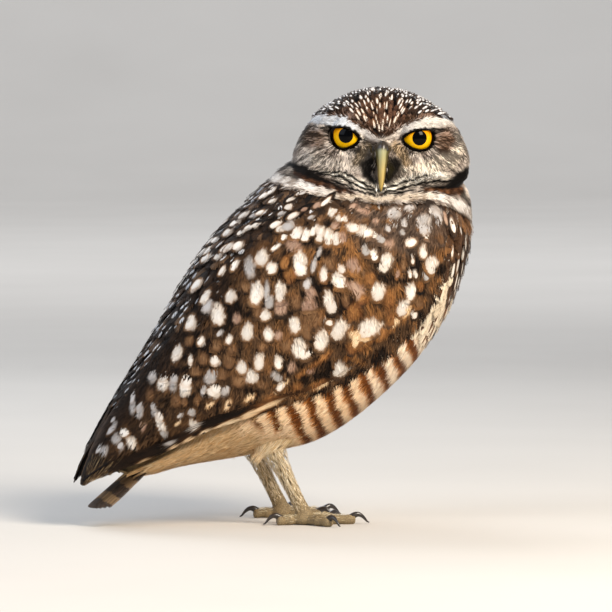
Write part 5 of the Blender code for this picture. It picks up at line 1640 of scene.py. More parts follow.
def cheek_streaks(u, v, lie_side):
    """Pale and dark lines that fan out from the eyes over the cheeks: a factor, and where it applies."""
    ex, ey = np.where(u < 381, 344.0, 418.0), 138.0
    around = np.arctan2(v - ey, u - ex)
    r = np.hypot(u - ex, v - ey)
    n = noise2(around * 15.0 + lie_side, r / 12, 8) + 0.7 * noise2(around * 29.0, r / 8, 9)
    where = ease(r, 12, 18) * ease(np.abs(u - 381), 24, 34)
    return n, where


def face_coat(rng):
    """The face and throat: fine strands coloured from the face map."""
    def wanted(middle, normal):
        u, v = face_map(middle)
        q = to_head(middle)
        front = normal @ BACK > -0.45
        on = front & (q[:, 1] > -16) & (u > 250) & (u < 482) & (v < 240)
        on &= ~((v < np.interp(u, BROW_TOP[:, 0], BROW_TOP[:, 1]) + 0.3) & (u > 300) & (u < 462) & (q[:, 1] > 2))
        on &= ~((q[:, 1] < 2) & (q[:, 2] > 13))
        on &= under_band(u, v) < -2.0
        return on * (1 + 1.1 * ease(np.hypot(u - 381, v - 165), 70, 30))

    p, n = SHELL.scattered(rng, 36000, wanted)
    u, v = face_map(p)
    on = (outside(u, v, EYE_LEFT, 1.9) > 0) & (outside(u, v, EYE_RIGHT, 1.9) > 0)
    on &= ~((np.abs(u - 380.5) < np.interp(v, (146, 175, 193), (5.0, 5.0, 2.4))) & (v > 146) & (v < 193) & (to_head(p)[:, 1] > 0))
    p, n, u, v = p[on], n[on], u[on], v[on]
    f = len(p)
    lie = face_lie(u, v)
    lie = lie[:, 0:1] * RIGHT - lie[:, 1:2] * UP
    q = to_head(p)
    around = unit(q - np.array((0, 25.0, 5.0))) @ FACE.T
    lie = blend(lie, around, ease(q[:, 1], 6, -2) * ease(under_band(u, v), -22, -34))
    turn = rng.normal(0, 0.15, f)[:, None]
    t1 = unit(lie - n * dot(lie, n)[:, None])
    t2 = np.cross(n, t1)
    t1, t2 = t1 * np.cos(turn) + t2 * np.sin(turn), t2 * np.cos(turn) - t1 * np.sin(turn)
    eye_d = np.minimum(np.hypot(u - 344, v - 138), np.hypot(u - 418, v - 138))
    length = rand(rng, f, 3.0, 5.4) * (0.55 + 0.45 * ease(eye_d, 14, 34)) * (0.75 + 0.25 * ease(np.hypot(u - 381, v - 180), 18, 40))
    length = length * (0.62 + 0.38 * ease(under_band(u, v), -2, -14))
    width = rand(rng, f, 0.28, 0.52)
    x, y, t, faces = strand_points(rng, length, width)
    lift = rand(rng, f, 0.9, 1.7) + 0.5 * ease(np.abs(u - 381), 70, 95) - 0.5 * ease(np.hypot(u - 380.5, v - 189), 14, 5)
    h = -0.9 + lift[:, None] * t**0.9 - 0.4 * t**3
    pts = SHELL.above(p[:, None] + x[..., None] * t1[:, None] + y[..., None] * t2[:, None], h)
    uu, vv = face_map(pts)
    # over the eyeballs' covered parts the strands lie on the lids
    for side in (-1, 1):
        centre = from_head(eye_middle(side)[0])
        a, b = ray(uu, vv)
        r = EYE_R + 0.95 + 0.45 * t
        off = a - centre
        off = np.linalg.norm(off - dot(off, b)[..., None] * b / dot(b, b)[..., None], axis=-1)
        on_lid = on_ball(uu, vv, centre, r)
        use = (off < r * 0.97) & (dot(on_lid, BACK) > dot(pts, BACK))
        pts = np.where(use[..., None], on_lid, pts)
    # each strand is light or dark as a whole where the cheek is streaked
    streak, _ = cheek_streaks(u, v, 0.0)
    streak = (2.1 * (streak + 0.34 * rng.normal(0, 1, f) - 0.06)).clip(-1, 1)[:, None] * np.ones_like(t)
    streak = streak * (0.45 + 0.55 * (1 - bold(uu, vv)))
    tint = face_colour(uu, vv, streak)
    # round the far side of the head the map's marks would be drawn out: there the cheek runs on, plain and streaked
    beyond = 0.9 * ease(n @ BACK, 0.0, -0.20) * ease(u, 381, 400)
    plainer = blend(between("4d3a2b", "6b5544", rng.random(f)), between("a39382", "c9bcab", rng.random(f)), ease(streak[:, 0], -0.5, 0.8))
    tint = blend(tint, plainer[:, None, :] * np.ones_like(tint), beyond[:, None] * np.ones_like(t))
    tone = (1 + 0.12 * rng.normal(0, 1, f)).clip(0.5, 1.5)[:, None, None]
    tint = tint * tone * (0.78 + 0.22 * ease(t, 0, 0.4))[..., None]
    upper = v < 158
    for name, part in (("face_upper", upper), ("face_lower", ~upper)):
        coat = Coat(name, "plumage_head", STRANDS)
        coat.add(pts[part], faces, strand_data(x[part], y[part], rng.random(part.sum()) * 40, tint[part]), np.stack((0.5 + y / 1.4, x / length[:, None]), -1)[part], np.stack((v, u), -1)[part])
        coat.finish()


head_coat()


# ---------------------------------------------------------------- neck and collar
def collar():
    rng = np.random.default_rng(31)
    for side, word in ((-1, "right"), (1, "left")):
        coat = Coat(f"collar_{word}", "plumage_brown", PLUMAGE)
        s, a = lattice(BODY, rng, (0.35, 1.75), 4.2, 4.0, 0, lambda s: (-92, 92))
        p = BODY.at(s, a, np.zeros(len(s))) * np.array((1, side, 1))
        facing = dot(unit(BODY.read(BODY.n, s, a)) * np.array((1, side, 1)), BACK)
        u, v = face_map(p)
        keep = (facing < -0.05) | (under_band(u, v) > 3.0)
        s, a, u, v, facing = (q[keep] for q in (s, a, u, v, facing))
        f = len(s)
        length, half = rand(rng, f, 7.5, 10.5), rand(rng, f, 2.0, 3.0)
        turn = rng.normal(0, 10, f) - 22 * ease(facing, 0.1, 0.7) * ease(a, 40, 0)
        s0, a0 = back_up(BODY, s, a, length, turn)
        keep = s0 > -0.2
        s, a, s0, a0, length, half, turn, u, v = (q[keep] for q in (s, a, s0, a0, length, half, turn, u, v))
        f = len(s)
        x, y, t, e, strip, faces = vane(rng, f, 8, length, half, 0.5, 0.75, ragged=0.14)
        h = heights(x, y, t, e, length, half, np.full(f, -2.2), rand(rng, f, 0.1, 0.8), 0.3, tilt=0.04, droop=0.25)
        p, _, _ = lay(BODY, s0, a0, turn, x, y, h, side)
        sy = np.where(rng.random(f) < 0.5, 1, -1)
        tint = ground(rng, BODY, s, np.where(a > 0, 50, a))
        rx, ry = rand(rng, f, 1.3, 2.6), rand(rng, f, 0.5, 0.9)
        spots = [spot(x, y, length - rx - rand(rng, f, 0.2, 1.0), sy * half * 0.2, rx, ry)]
        spots[0][rng.random(f) < 0.42] = 9.0
        data = feather_data(rng, x, y, t, strip, length, half, tint, tint * 1.5, 0.25, 0.45, pick(rng, ("a9a29b", "cfcac4"), f), spots)
        if side < 0:
            faces = faces[:, ::-1]
        coat.add(p, faces, data, cell_uv(x, y, length, half), np.stack((s0, a0), -1))
        coat.finish()


collar()


# ---------------------------------------------------------------- eyes and lids
def eye_material():
    g = Graph("iris", 0.06, Specular_IOR_Level=0.10)
    px, py, pr = g.xyz(g.attribute("iris"))
    rays = g.noise(g.vector(g.math("MULTIPLY", px, 1.0), g.math("MULTIPLY", py, 1.0), 0.0), 9.0, 4.0, 0.6)
    cloud = g.noise(g.vector(px, py, pr), 1.2, 2.0, 0.5)
    edge = g.math("ADD", pr, g.math("MULTIPLY", g.math("SUBTRACT", rays, 0.5), 0.16))
    yellow = g.mix(g.step(rays, 0.30, 0.70), (*rgb("f0a800"), 1), (*rgb("ffcf10"), 1))
    # the top of the iris is painted a darker orange: painted shade of the upper lid
    lid_shaded_iris = g.mix(g.step(rays, 0.3, 0.7), (*rgb("e07c06"), 1), (*rgb("f59c10"), 1))
    upper = g.math("ADD", py, g.math("MULTIPLY", g.math("SUBTRACT", cloud, 0.5), 5.0))
    iris = g.mix(g.step(upper, -1.5, 3.5, 0.0, 0.85), yellow, lid_shaded_iris)
    iris = g.mix(g.step(rays, 0.52, 0.70, 0.0, 0.35), iris, (*rgb("b86a04"), 1))
    iris = g.mix(g.step(edge, 6.3, 6.9), iris, (*rgb("a85a08"), 1))
    iris = g.mix(g.step(edge, 6.95, 7.25), iris, (*rgb("060403"), 1))
    return g.colour(g.mix(g.step(edge, 3.24, 3.36), (*rgb("010102"), 1), iris))


EYE = eye_material()


def skin_like(name, roughness, codes, scale, bump_by=0.4, distance=0.0002, **more):
    g = Graph(name, roughness, **more)
    n = g.node("ShaderNodeTexCoord").outputs["Object"]
    cells = g.noise(n, scale, 4.0, 0.6)
    g.bump(cells, bump_by, distance)
    return g.colour(g.mix(g.step(cells, 0.35, 0.65), (*rgb(codes[0]), 1), (*rgb(codes[1]), 1)))


LID = skin_like("lid_skin", 0.9, ("050403", "0f0b08"), 900.0, Specular_IOR_Level=0.02)


def eyes():
    for side, word, outline in ((-1, "left", EYE_RIGHT), (1, "right", EYE_LEFT)):
        middle, way = eye_middle(side)
        t1 = unit(np.cross(np.array((0, 0, 1.0)), way))
        t2 = np.cross(way, t1)
        theta = np.radians(np.concatenate((np.linspace(0, 60, 41), np.linspace(64, 118, 12))))
        phi = np.linspace(0, 2 * math.pi, 64, endpoint=False)
        T, P = np.meshgrid(theta, phi, indexing="ij")
        r = EYE_R - 0.35 + 0.75 * np.maximum(1 - (np.degrees(T) / 50) ** 2, 0) ** 1.3
        rho = EYE_R * np.sin(T)
        p = middle + r[..., None] * (np.cos(T)[..., None] * way + np.sin(T)[..., None] * (np.cos(P)[..., None] * t1 + np.sin(P)[..., None] * t2))
        n, m = T.shape
        grid = np.arange(n * m).reshape(n, m)
        a, b = grid[:-1], grid[1:]
        faces = np.stack((a, b, np.roll(b, -1, 1), np.roll(a, -1, 1)), -1).reshape(-1, 4)
        iris = np.stack((rho * np.cos(P), rho * np.sin(P), np.where(np.degrees(T) < 90, rho, 12)), -1).reshape(-1, 3)
        obj = put(f"eyeball_{word}", from_head(p.reshape(-1, 3)), faces[:, ::-1], EYE, [("iris", iris)], None, "iris_yellow")
        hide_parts(f"eye_{word}")
        centre = from_head(middle)
        u, v = face_map(from_head(middle + way * EYE_R))
        print("eye", word, "front at", np.round((float(u), float(v)), 1))
        # lid: a rolled rim round the opening, then a collar of dark skin out to the face
        k = 72
        loop = smooth_loop(outline, k)
        mid = loop.mean(0)
        rings = []
        for grow, lift in ((0.0, -0.5), (0.0, 0.35), (0.7, 0.75), (1.8, 0.85), (3.0, 0.7), (4.2, 0.5), (5.6, 0.1), (7.0, -0.5)):
            out = loop + unit(loop - mid) * grow
            q = on_ball(out[:, 0], out[:, 1], centre, EYE_R + lift)
            upper = (loop[:, 1] < mid[1]) * 0.35
            q = q + BACK * upper[:, None] * (lift > 0)
            if grow > 2:  # beyond the rim, whichever of ball and face stands out further
                flat = from_head(head_point(on_face(out[:, 0], out[:, 1]), np.full(k, -1.3)))
                away = ray(out[:, 0], out[:, 1])[0] - centre
                off = np.linalg.norm(away - dot(away, BACK)[:, None] * BACK, axis=1)
                missed = off > (EYE_R + lift) * 0.985
                q = np.where((missed | (dot(flat, BACK) > dot(q, BACK)))[:, None], flat, q)
            rings.append(q)
        ring_mesh(f"lid_{word}", rings, LID, "plumage_head")


def smooth_loop(outline, k):
    n = len(outline)
    t = np.arange(k) * n / k
    i = t.astype(int)
    f = (t - i)[:, None]
    a, b, c, d = (outline[(i + j) % n] for j in (-1, 0, 1, 2))
    return 0.5 * (2 * b + (c - a) * f + (2 * a - 5 * b + 4 * c - d) * f * f + (3 * b - a - 3 * c + d) * f**3)


def ring_mesh(name, rings, material, slot, closed=False, attributes=()):
    p = np.concatenate(rings)
    k = len(rings[0])
    grid = np.arange(len(p)).reshape(len(rings), k)
    a, b = grid[:-1], grid[1:]
    faces = np.stack((a, b, np.roll(b, -1, 1), np.roll(a, -1, 1)), -1).reshape(-1, 4)
    return put(name, p, faces, material, attributes, None, slot)


eyes()


# ---------------------------------------------------------------- bill
def bill_line(t):
    t = np.asarray(t, float)
    return np.stack((np.zeros_like(t), 22.6 + 8.0 * np.sin(math.pi * (0.22 + 0.60 * t)) - 1.0 * t, BILL_BASE_Z - (BILL_LENGTH + 0.7) * power(t, 1.12)), -1)


def bill_material():
    g = Graph("bill_horn", 0.34, Specular_IOR_Level=0.5, Coat_Weight=0.25, Coat_Roughness=0.25)
    along, around, inner = g.xyz(g.attribute("horn"))
    n = g.noise(g.vector(g.math("MULTIPLY", along, 3.0), g.math("MULTIPLY", around, 9.0), 0.0), 2.2, 4.0, 0.6)
    ridge = g.mix(g.step(along, 0.15, 0.80), (*rgb("9c9a70"), 1), (*rgb("cdb062"), 1))
    side_ = g.mix(g.step(along, 0.2, 0.9), (*rgb("4b4518"), 1), (*rgb("8f7430"), 1))
    horn = g.mix(g.step(g.math("ADD", g.math("ABSOLUTE", around), g.math("MULTIPLY", n, 0.25)), 0.74, 1.02), ridge, side_)
    cere = g.mix(n, (*rgb("171009"), 1), (*rgb("3a2f1c"), 1))
    horn = g.mix(g.step(g.math("ADD", along, g.math("MULTIPLY", n, 0.06)), 0.16, 0.24, 1.0, 0.0), horn, cere)
    g.bump(n, 0.25, 0.0002)
    return g.colour(g.mix(1.0, horn, g.grey(g.math("ADD", 0.75, g.math("MULTIPLY", n, 0.5))), "MULTIPLY"))


HORN = bill_material()


def bill_rings(first, last, thick, wide, drop, count, sides, keel, cere=0.0):
    rings, data = [], []
    for t in np.linspace(first, last, count):
        p = bill_line(t) + np.array((0, -drop, 0))
        way = unit(bill_line(min(t + 0.02, 1)) - bill_line(t - 0.02))
        out = np.cross(np.array((1.0, 0, 0)), way)
        out = unit(out if out[1] > 0 else -out)
        share = (t - first) / (last - first)
        r = max(1 - share**2.2, 0.0) ** 0.62 * (0.86 + 0.14 * math.sin(math.pi * min(share * 2, 1)))
        swell = cere * math.exp(-(((t - 0.10) / 0.09) ** 2))
        half, deep = max(wide * r, 0.12) * (1 + 0.30 * swell), max(thick * r, 0.12) * (1 + 0.12 * swell)
        a = np.linspace(0, 2 * math.pi, sides, endpoint=False)
        ca, sa = np.cos(a), np.sin(a)
        narrow = 1 - keel * np.maximum(sa, 0) ** 1.5
        rings.append(from_head(p + np.array((1.0, 0, 0)) * (half * power(ca, 0.9) * narrow)[:, None] + out * (deep * power(sa, 0.92))[:, None]))
        data.append(np.stack((np.full(sides, t), np.where(sa > -0.2, np.abs(ca) * np.sign(ca), 1.0), np.full(sides, 0.0)), -1))
    return rings, np.concatenate(data)


def bill():
    rings, data = bill_rings(-0.02, 1.0, 3.5, 2.75, 0.0, 34, 28, 0.38, 1.0)
    obj = ring_mesh("bill_upper_horn", rings, HORN, "bill_horn", attributes=[("horn", data)])
    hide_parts("bill_upper")
    rings, data = bill_rings(0.30, 0.82, 2.1, 2.0, 3.4, 20, 20, 0.1)
    obj = ring_mesh("bill_lower_horn", rings, HORN, "bill_horn", attributes=[("horn", data)])
    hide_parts("bill_lower")
    # nostrils: sunk ovals high on the sides of the cere
    g = skin_like("nostril", 0.6, ("060504", "100c09"), 900.0)
    for side, u, v in ((1, 372.6, 149.0), (-1, 387.4, 148.5)):
        a, b = ray(np.array(u), np.array(v))
        q = on_ball(np.array([u]), np.array([v]), from_head(bill_line(0.14) + np.array((0, -1.0, 0))), 3.9)[0]
        n = unit(q - from_head(bill_line(0.14) + np.array((0, -2.0, 0))))
        x = unit(np.cross(n, UP))
        y = np.cross(n, x)
        rings = []
        for r, out in ((1.0, -0.2), (0.95, 0.06), (0.7, 0.14), (0.35, 0.12), (0.02, 0.05)):
            t = np.linspace(0, 2 * math.pi, 20, endpoint=False)
            rings.append(q + x * (np.cos(t) * 0.62 * r)[:, None] + y * (np.sin(t) * 1.15 * r)[:, None] + n * out)
        ring_mesh(f"nostril_{'right' if side > 0 else 'left'}", rings, g, "bill_horn")


bill()


# ---------------------------------------------------------------- legs and feet
def limb_frame(points):
    points = np.asarray(points, float)
    way = unit(np.gradient(points, axis=0))
    side = unit(np.cross(way[0], np.array((0, 0, 1.0)) if abs(way[0, 2]) < 0.9 else np.array((0, 1.0, 0))))
    sides = []
    for w in way:
        side = unit(side - w * dot(side, w))
        sides.append(side)
    sides = np.array(sides)
    return points, way, sides, np.cross(sides, way)


class Limb:
    """A round limb: rows of centre and radius, read at (t 0..1, angle in turns)."""

    def __init__(self, points, radii):
        rows = np.concatenate((np.asarray(points, float), np.asarray(radii, float)[:, None]), 1)
        t = np.linspace(0, len(rows) - 1, 80)
        fine = smooth(rows, t)
        self.c, self.way, self.x, self.y = limb_frame(fine[:, :3])
        self.r = fine[:, 3]
        self.long = np.concatenate(([0], np.cumsum(np.linalg.norm(np.diff(self.c, axis=0), axis=1))))

    def at(self, along, turn, h):
        """along in mm from the start, turn in radians."""
        t = np.interp(along, self.long, np.arange(80))
        i = np.minimum(t.astype(int), 78)
        f = (t - i)[..., None]

        def mix(q):
            return q[i] * (1 - f) + q[i + 1] * f

        r = mix(self.r[:, None])[..., 0] + h
        past = (np.maximum(along - self.long[-1], 0) + np.minimum(along, 0))[..., None]
        return mix(self.c) + mix(self.way) * past + (mix(self.x) * np.cos(turn)[..., None] + mix(self.y) * np.sin(turn)[..., None]) * r[..., None]


def mirrored(p, side):
    return np.asarray(p, float) * np.array((1, side, 1))


def leg_limbs(side):
    knee, ankle, foot = (mirrored(p, side) for p in (KNEE, ANKLE, FOOT))
    ts = (-0.20, -0.08, 0.12, 0.4, 0.7, 1.0, 1.2, 1.32)
    thigh = Limb([knee + (ankle - knee) * t for t in ts], [THIGH_R * k for k in (0.35, 0.8, 1.0, 0.97, 0.82, 0.62, 0.42, 0.2)])
    ts = (-0.10, 0.0, 0.15, 0.4, 0.72, 0.97)
    tarsus = Limb([ankle + (foot - ankle) * t for t in ts], [TARSUS_R * k for k in (0.5, 1.45, 1.6, 1.15, 0.95, 0.98)])
    return thigh, tarsus


def legs():
    for side, word in ((-1, "right"), (1, "left")):
        rng = np.random.default_rng(51 + side)
        coat = Coat(f"leg_plumage_{word}", "plumage_cream", STRANDS)
        thigh, tarsus = leg_limbs(side)
        for limb, n, long_, wide, start, stop, deep in ((thigh, 2600, (5.0, 9.0), (0.35, 0.7), 0.05, 0.93, 1.6), (tarsus, 1500, (2.4, 4.4), (0.22, 0.40), 0.0, 0.93, 0.8)):
            total = limb.long[-1]
            at = total * rand(rng, n, start, stop)
            turn = rng.random(n) * 2 * math.pi
            length, width = rand(rng, n, *long_), rand(rng, n, *wide)
            if limb is tarsus:
                length = length * (0.6 + 0.4 * ease(at / total, 0.9, 0.5))
            x, y, t, faces = strand_points(rng, length, width)
            r = np.interp(at, limb.long, limb.r)[:, None]
            sway = rng.normal(0, 0.10, n)[:, None]
            h = -deep + (deep + rand(rng, n, 0.0, 0.5)[:, None]) * t**0.8 - 0.5 * t**3
            p = limb.at(at[:, None] + x, turn[:, None] + (y + sway * x) / np.maximum(r, 1.5), h)
            if limb is tarsus:
                tint = pick(rng, ("bfa780", "d8c4a0", "e9dcc2"), n, 0.06)
            else:
                tint = pick(rng, ("d6b383", "e8cfa4", "f3e3c6"), n, 0.06)
            c = tint[:, None] * (0.6 + 0.4 * ease(t, 0, 0.5))[..., None]
            ok = p[..., 2].min(1) > 3.0
            q = np.stack((np.full(n, 0.0 if limb is thigh else 50.0) + at / total, turn), -1)
            coat.add(p[ok], faces, strand_data(x, y, rng.random(n) * 40, c) if ok.all() else {k: v[ok] for k, v in strand_data(x, y, rng.random(n) * 40, c).items()}, np.stack((0.5 + y / 1.6, x / length[:, None]), -1)[ok], q[ok])
        coat.finish()


legs()


def foot_skin_material():
    g = Graph("foot_skin", 0.55, Specular_IOR_Level=0.4)
    n = g.node("ShaderNodeTexCoord").outputs["Object"]
    cells = g.node("ShaderNodeTexVoronoi", feature="DISTANCE_TO_EDGE")
    g.feed(cells.inputs["Vector"], n)
    cells.inputs["Scale"].default_value = 1150.0
    grain = g.noise(n, 700.0, 3.0, 0.6)
    crease = g.step(cells.outputs["Distance"], 0.02, 0.16)
    g.bump(g.math("ADD", crease, g.math("MULTIPLY", grain, 0.4)), 0.5, 0.0003)
    skin = g.mix(grain, (*rgb("7d6a4c"), 1), (*rgb("a8926a"), 1))
    return g.colour(g.mix(1.0, skin, g.grey(g.math("ADD", 0.62, g.math("MULTIPLY", crease, 0.42))), "MULTIPLY"))


def mesh_from(points, faces):
    me = bpy.data.meshes.new("shape")
    me.from_pydata([tuple(p) for p in (points - ORIGIN) * MM], [], [tuple(int(i) for i in f) for f in faces])
    return me


def tube(points, radii, sides=20, squash=1.0):
    rows = np.concatenate((np.asarray(points, float), np.asarray(radii, float)[:, None]), 1)
    fine = smooth(rows, np.linspace(0, len(rows) - 1, (len(rows) - 1) * 6 + 1))
    c, way, x, y = limb_frame(fine[:, :3])
    a = np.linspace(0, 2 * math.pi, sides, endpoint=False)
    rings = [c[i] + (x[i] * np.cos(a)[:, None] + y[i] * squash * np.sin(a)[:, None]) * fine[i, 3] for i in range(len(fine))]
    p = np.concatenate(rings + [c[:1], c[-1:]])
    n = len(rings)
    grid = np.arange(n * sides).reshape(n, sides)
    quads = np.stack((grid[:-1], grid[1:], np.roll(grid[1:], -1, 1), np.roll(grid[:-1], -1, 1)), -1).reshape(-1, 4)
    faces = [tuple(q) for q in quads]
    faces += [(n * sides, grid[0, j], grid[0, (j + 1) % sides]) for j in range(sides)]
    faces += [(n * sides + 1, grid[-1, (j + 1) % sides], grid[-1, j]) for j in range(sides)]
    return mesh_from(p, faces)


CLAW = None


def feet():
    skin = foot_skin_material()
    g = Graph("claw_horn", 0.28, Specular_IOR_Level=0.5, Coat_Weight=0.3, Coat_Roughness=0.15)
    n = g.noise(g.node("ShaderNodeTexCoord").outputs["Object"], 500.0, 3.0, 0.5)
    g.bump(n, 0.15, 0.0001)
    horn = g.colour(g.mix(n, (*rgb("120e0b"), 1), (*rgb("3a3028"), 1)))
    for side, word in ((-1, "right"), (1, "left")):
        foot = mirrored(FOOT, side)
        ankle = mirrored(ANKLE, side)
        shapes = []
        for finger, turn, length in TOES:
            a = math.radians(turn) * side
            way = np.array((math.cos(a), math.sin(a), 0))
            ts = np.array((0.0, 0.12, 0.24, 0.36, 0.46, 0.55, 0.66, 0.76, 0.87, 0.96, 1.0))
            zs = np.interp(ts, (0.0, 0.22, 0.40, 0.54, 0.70, 0.88, 1.0), (2.8, 2.4, 2.2, 2.2, 2.0, 2.0, 2.0))
            rs = TOE_R * np.array((0.9, 0.86, 0.88, 0.78, 0.84, 0.94, 0.78, 0.76, 0.90, 0.80, 0.55))
            pts = [np.array((foot[0], foot[1], z)) + way * length * t for t, z in zip(ts, zs)]
            shapes.append(tube(pts, rs, 18, 0.95))
            # claw: a smooth curved cone
            start = np.array((foot[0], foot[1], 0)) + way * (length - 1.6)
            pts, radii = [], []
            for t in np.linspace(-0.12, 1.0, 10):
                tt = max(t, 0.0)
                pts.append(start + way * CLAW_LENGTH * t + np.array((0, 0, 2.4 + 2.2 * math.sin(math.pi * min(tt + 0.12, 1.0)) - 1.7 * tt * tt)))
                radii.append(max(CLAW_R * (1 - 0.86 * tt**1.1) * (0.9 if t < 0 else 1.0), 0.12))
            me = tube(pts, radii, 16, 1.08)
            me.shade_smooth()
            me.materials.append(horn)
            obj = bpy.data.objects.new(f"claw_{finger}_{word}_horn", me)
            bpy.context.scene.collection.objects.link(obj)
            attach(obj, "root")
            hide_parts(f"claw_{finger}_{word}")
        shapes.append(tube([np.array((foot[0], foot[1], z)) for z in (0.2, 1.6, 3.0, 4.6, 6.4)], (3.6, 5.0, 5.0, 4.3, 3.2), 24))
        shapes.append(tube([ankle + (foot - ankle) * t for t in (0.45, 0.6, 0.75, 0.9, 1.0)], [TARSUS_R * k for k in (0.75, 0.78, 0.80, 0.9, 0.95)], 20))
        obj = remeshed(f"foot_skin_{word}", shapes, 0.38, 3, (0.05, -0.05), skin)
        me = obj.data
        co = np.zeros(len(me.vertices) * 3, np.float32)
        me.vertices.foreach_get("co", co)
        co = co.reshape(-1, 3).astype(float) / MM + ORIGIN
        nor = np.zeros(len(me.vertices) * 3, np.float32)
        me.vertices.foreach_get("normal", nor)
        nor = nor.reshape(-1, 3)
        # broad plates across the top of the toes, fine knobs beneath
        rel = co[:, :2] - foot[:2]
        dist = np.hypot(rel[:, 0], rel[:, 1])
        plates = np.abs(np.sin(dist * math.pi / 1.35)) ** 0.5
        topside = ease(nor[:, 2], 0.1, 0.7) * ease(dist, 5.0, 7.0)
        shank = ease(co[:, 2], 6, 9)
        ring = np.abs(np.sin(co[:, 2] * math.pi / 1.7)) ** 0.5
        co = co + nor * (0.16 * plates * topside + 0.12 * ring * shank)[:, None]
        co[:, 2] = np.maximum(co[:, 2], 0.02)
        me.vertices.foreach_set("co", np.asarray((co - ORIGIN) * MM, np.float32).ravel())
        me.update()
        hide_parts(f"foot_{word}", *(f"toe_{finger}_{word}" for finger, _, _ in TOES))
        # sparse bristles on the toes
        rng = np.random.default_rng(91 + side)
        coat = Coat(f"toe_bristles_{word}", "plumage_cream", STRANDS)
        for finger, turn, length in TOES:
            a = math.radians(turn) * side
            way = np.array((math.cos(a), math.sin(a), 0))
            limb = Limb([np.array((foot[0], foot[1], z)) + way * length * t for t, z in zip((0.0, 0.22, 0.54, 0.88), (2.8, 2.4, 2.2, 2.0))], [2.4, 2.3, 2.4, 2.2])
            m = 90
            at = rand(rng, m, 0.15, 0.85) * limb.long[-1]
            up_turn = np.arctan2(dot(np.array((0, 0, 1.0)), limb.y[40]), dot(np.array((0, 0, 1.0)), limb.x[40]))
            turn_ = up_turn + rng.normal(0, 0.65, m)
            ln, wd = rand(rng, m, 1.4, 2.6), rand(rng, m, 0.12, 0.2)
            x, y, t, faces = strand_points(rng, ln, wd)
            h = -0.15 + 0.75 * t
            p = limb.at(at[:, None] + x, turn_[:, None] + y / 2.4, h)
            tint = pick(rng, ("c7b691", "e6dabd"), m)[:, None] * np.ones((1, x.shape[1], 1))
            coat.add(p, faces, strand_data(x, y, rng.random(m) * 40, tint), np.stack((0.5 + y / 1.0, x / ln[:, None]), -1), np.stack((at, turn_), -1))
        coat.finish()


feet()


# ---------------------------------------------------------------- skin under the coat
def body_skin():
    g = Graph("skin_under_coat", 0.85, Specular_IOR_Level=0.2)
    n = g.noise(g.node("ShaderNodeTexCoord").outputs["Object"], 420.0, 4.0, 0.65)
    g.bump(n, 0.5, 0.0006)
    material = g.colour(g.mix(1.0, g.attribute("ground", "Color"), g.grey(g.math("ADD", 0.55, g.math("MULTIPLY", n, 0.9))), "MULTIPLY"))
    names = ["trunk", "neck", "head", "undertail", "wing_left", "wing_right", "primaries_left", "primaries_right"]
    for word in ("left", "right"):
        names += [f"thigh_{word}", f"tarsus_{word}"]
    obj = remeshed("skin", [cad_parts[k] for k in names], 1.5, 10, (0.5, -2.6), material)
    me = obj.data
    co = np.zeros(len(me.vertices) * 3, np.float32)
    me.vertices.foreach_get("co", co)
    co = co.reshape(-1, 3)
    points = np.concatenate([p for p, _ in SEEN])
    tints = np.concatenate([c for _, c in SEEN])
    tree = kdtree.KDTree(len(points))
    for i, p in enumerate((points - ORIGIN) * MM):
        tree.insert(p, i)
    tree.balance()
    # the skin takes the nearby feathers' mean colour, darkened by a quarter: painted shade in the gaps between feathers
    ground = np.ones((len(co), 4), np.float32)
    for i, p in enumerate(co):
        near = [q[1] for q in tree.find_n(p, 6)]
        ground[i, :3] = tints[near].mean(0) * 0.75
    me.attributes.new("ground", "FLOAT_COLOR", "POINT").data.foreach_set("color", ground.ravel())
    print("skin", len(me.polygons), "triangles")
    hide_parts(*names)


body_skin()
for name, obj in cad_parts.items():
    if "primaries" in name:
        print(name, "hidden:", obj.hide_render)


# ---------------------------------------------------------------- floor, light, camera
def stage():
    rows = []
    for t in np.linspace(0, 1, 24):
        if t < 0.45:
            rows.append((-4.5 + t / 0.45 * 8.3, 0.0))
        else:
            a = (t - 0.45) / 0.55 * math.pi / 2
            rows.append((3.8 + 1.6 * math.sin(a), 1.6 * (1 - math.cos(a))))
    rows.append((5.4, 3.5))
    away = -BACK.copy()
    away[2] = 0
    away = unit(away)
    verts, faces = [], []
    for d, z in rows:
        for w in (-4.5, 4.5):
            q = away * d + RIGHT * w
            verts.append((q[0], q[1], z))
    for i in range(len(rows) - 1):
        faces.append((2 * i, 2 * i + 1, 2 * i + 3, 2 * i + 2))
    me = bpy.data.meshes.new("floor")
    me.from_pydata(verts, [], faces)
    me.shade_smooth()
    obj = bpy.data.objects.new("floor", me)
    bpy.context.scene.collection.objects.link(obj)
    g = Graph("floor", 0.85, Specular_IOR_Level=0.2)
    n = g.noise(g.node("ShaderNodeTexCoord").outputs["Object"], 6.0, 2.0, 0.5)
    me.materials.append(g.colour(g.mix(n, (*rgb("c9c4bc"), 1), (*rgb("d2cdc5"), 1))))


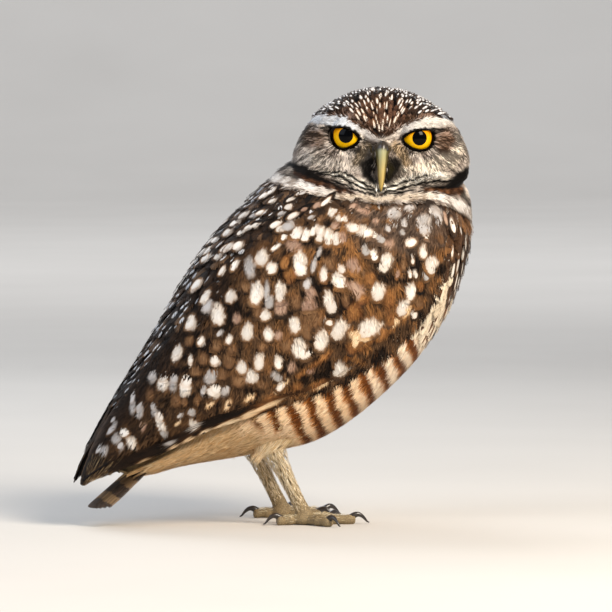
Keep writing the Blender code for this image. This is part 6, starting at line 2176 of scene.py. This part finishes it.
def lamp(name, power_w, size, colour, direction, distance):
    data = bpy.data.lights.new(name, "AREA")
    data.energy, data.size, data.color = power_w, size, colour
    obj = bpy.data.objects.new(name, data)
    bpy.context.scene.collection.objects.link(obj)
    at = Vector((0, 0, 0.1)) + Vector(unit(np.array(direction, float))) * distance
    obj.location = at
    obj.rotation_euler = (Vector((0, 0, 0.1)) - at).to_track_quat("-Z", "Y").to_euler()


stage()
front = BACK.copy()
lamp("key", 24.0, 0.55, (1.0, 0.90, 0.77), front * 0.75 + RIGHT * 0.75 + np.array((0, 0, 0.75)), 1.3)
lamp("fill", 11.0, 1.3, (0.80, 0.88, 1.0), front * 0.55 - RIGHT * 1.0 + np.array((0, 0, 0.7)), 1.5)
lamp("rim", 10.0, 0.8, (0.86, 0.92, 1.0), -front * 0.8 - RIGHT * 0.35 + np.array((0, 0, 0.9)), 1.4)
backdrop = bpy.data.lights.new("backdrop", "AREA")
backdrop.energy, backdrop.size, backdrop.color = 70.0, 3.0, (0.92, 0.95, 1.0)
backdrop_lamp = bpy.data.objects.new("backdrop", backdrop)
bpy.context.scene.collection.objects.link(backdrop_lamp)
flat_front = unit(front * np.array((1, 1, 0)))
backdrop_lamp.location = Vector(-flat_front * 2.3 + np.array((0, 0, 2.2)))
backdrop_lamp.rotation_euler = Vector(-flat_front * 3.0 + np.array((0, 0, -1.6))).to_track_quat("-Z", "Y").to_euler()
world = bpy.data.worlds.new("studio")
bpy.context.scene.world = world
world.use_nodes = True
world.node_tree.nodes["Background"].inputs[0].default_value = (0.80, 0.86, 1.0, 1)
world.node_tree.nodes["Background"].inputs[1].default_value = 0.38
bpy.context.scene.view_settings.view_transform = "Standard"
bpy.context.scene.view_settings.look = "None"

camera_data = bpy.data.cameras.new("camera")
camera = bpy.data.objects.new("camera", camera_data)
bpy.context.scene.collection.objects.link(camera)
camera_data.sensor_width = 36.0
camera_data.lens = 36.0 * 3.0 / 0.2754
camera_data.clip_start, camera_data.clip_end = 0.1, 20.0
camera.location = Vector((AIM + BACK * FAR) * MM)
camera.rotation_euler = (-Vector(BACK)).to_track_quat("-Z", "Y").to_euler()
bpy.context.scene.camera = camera

print("coat triangles", sum(TOTAL))
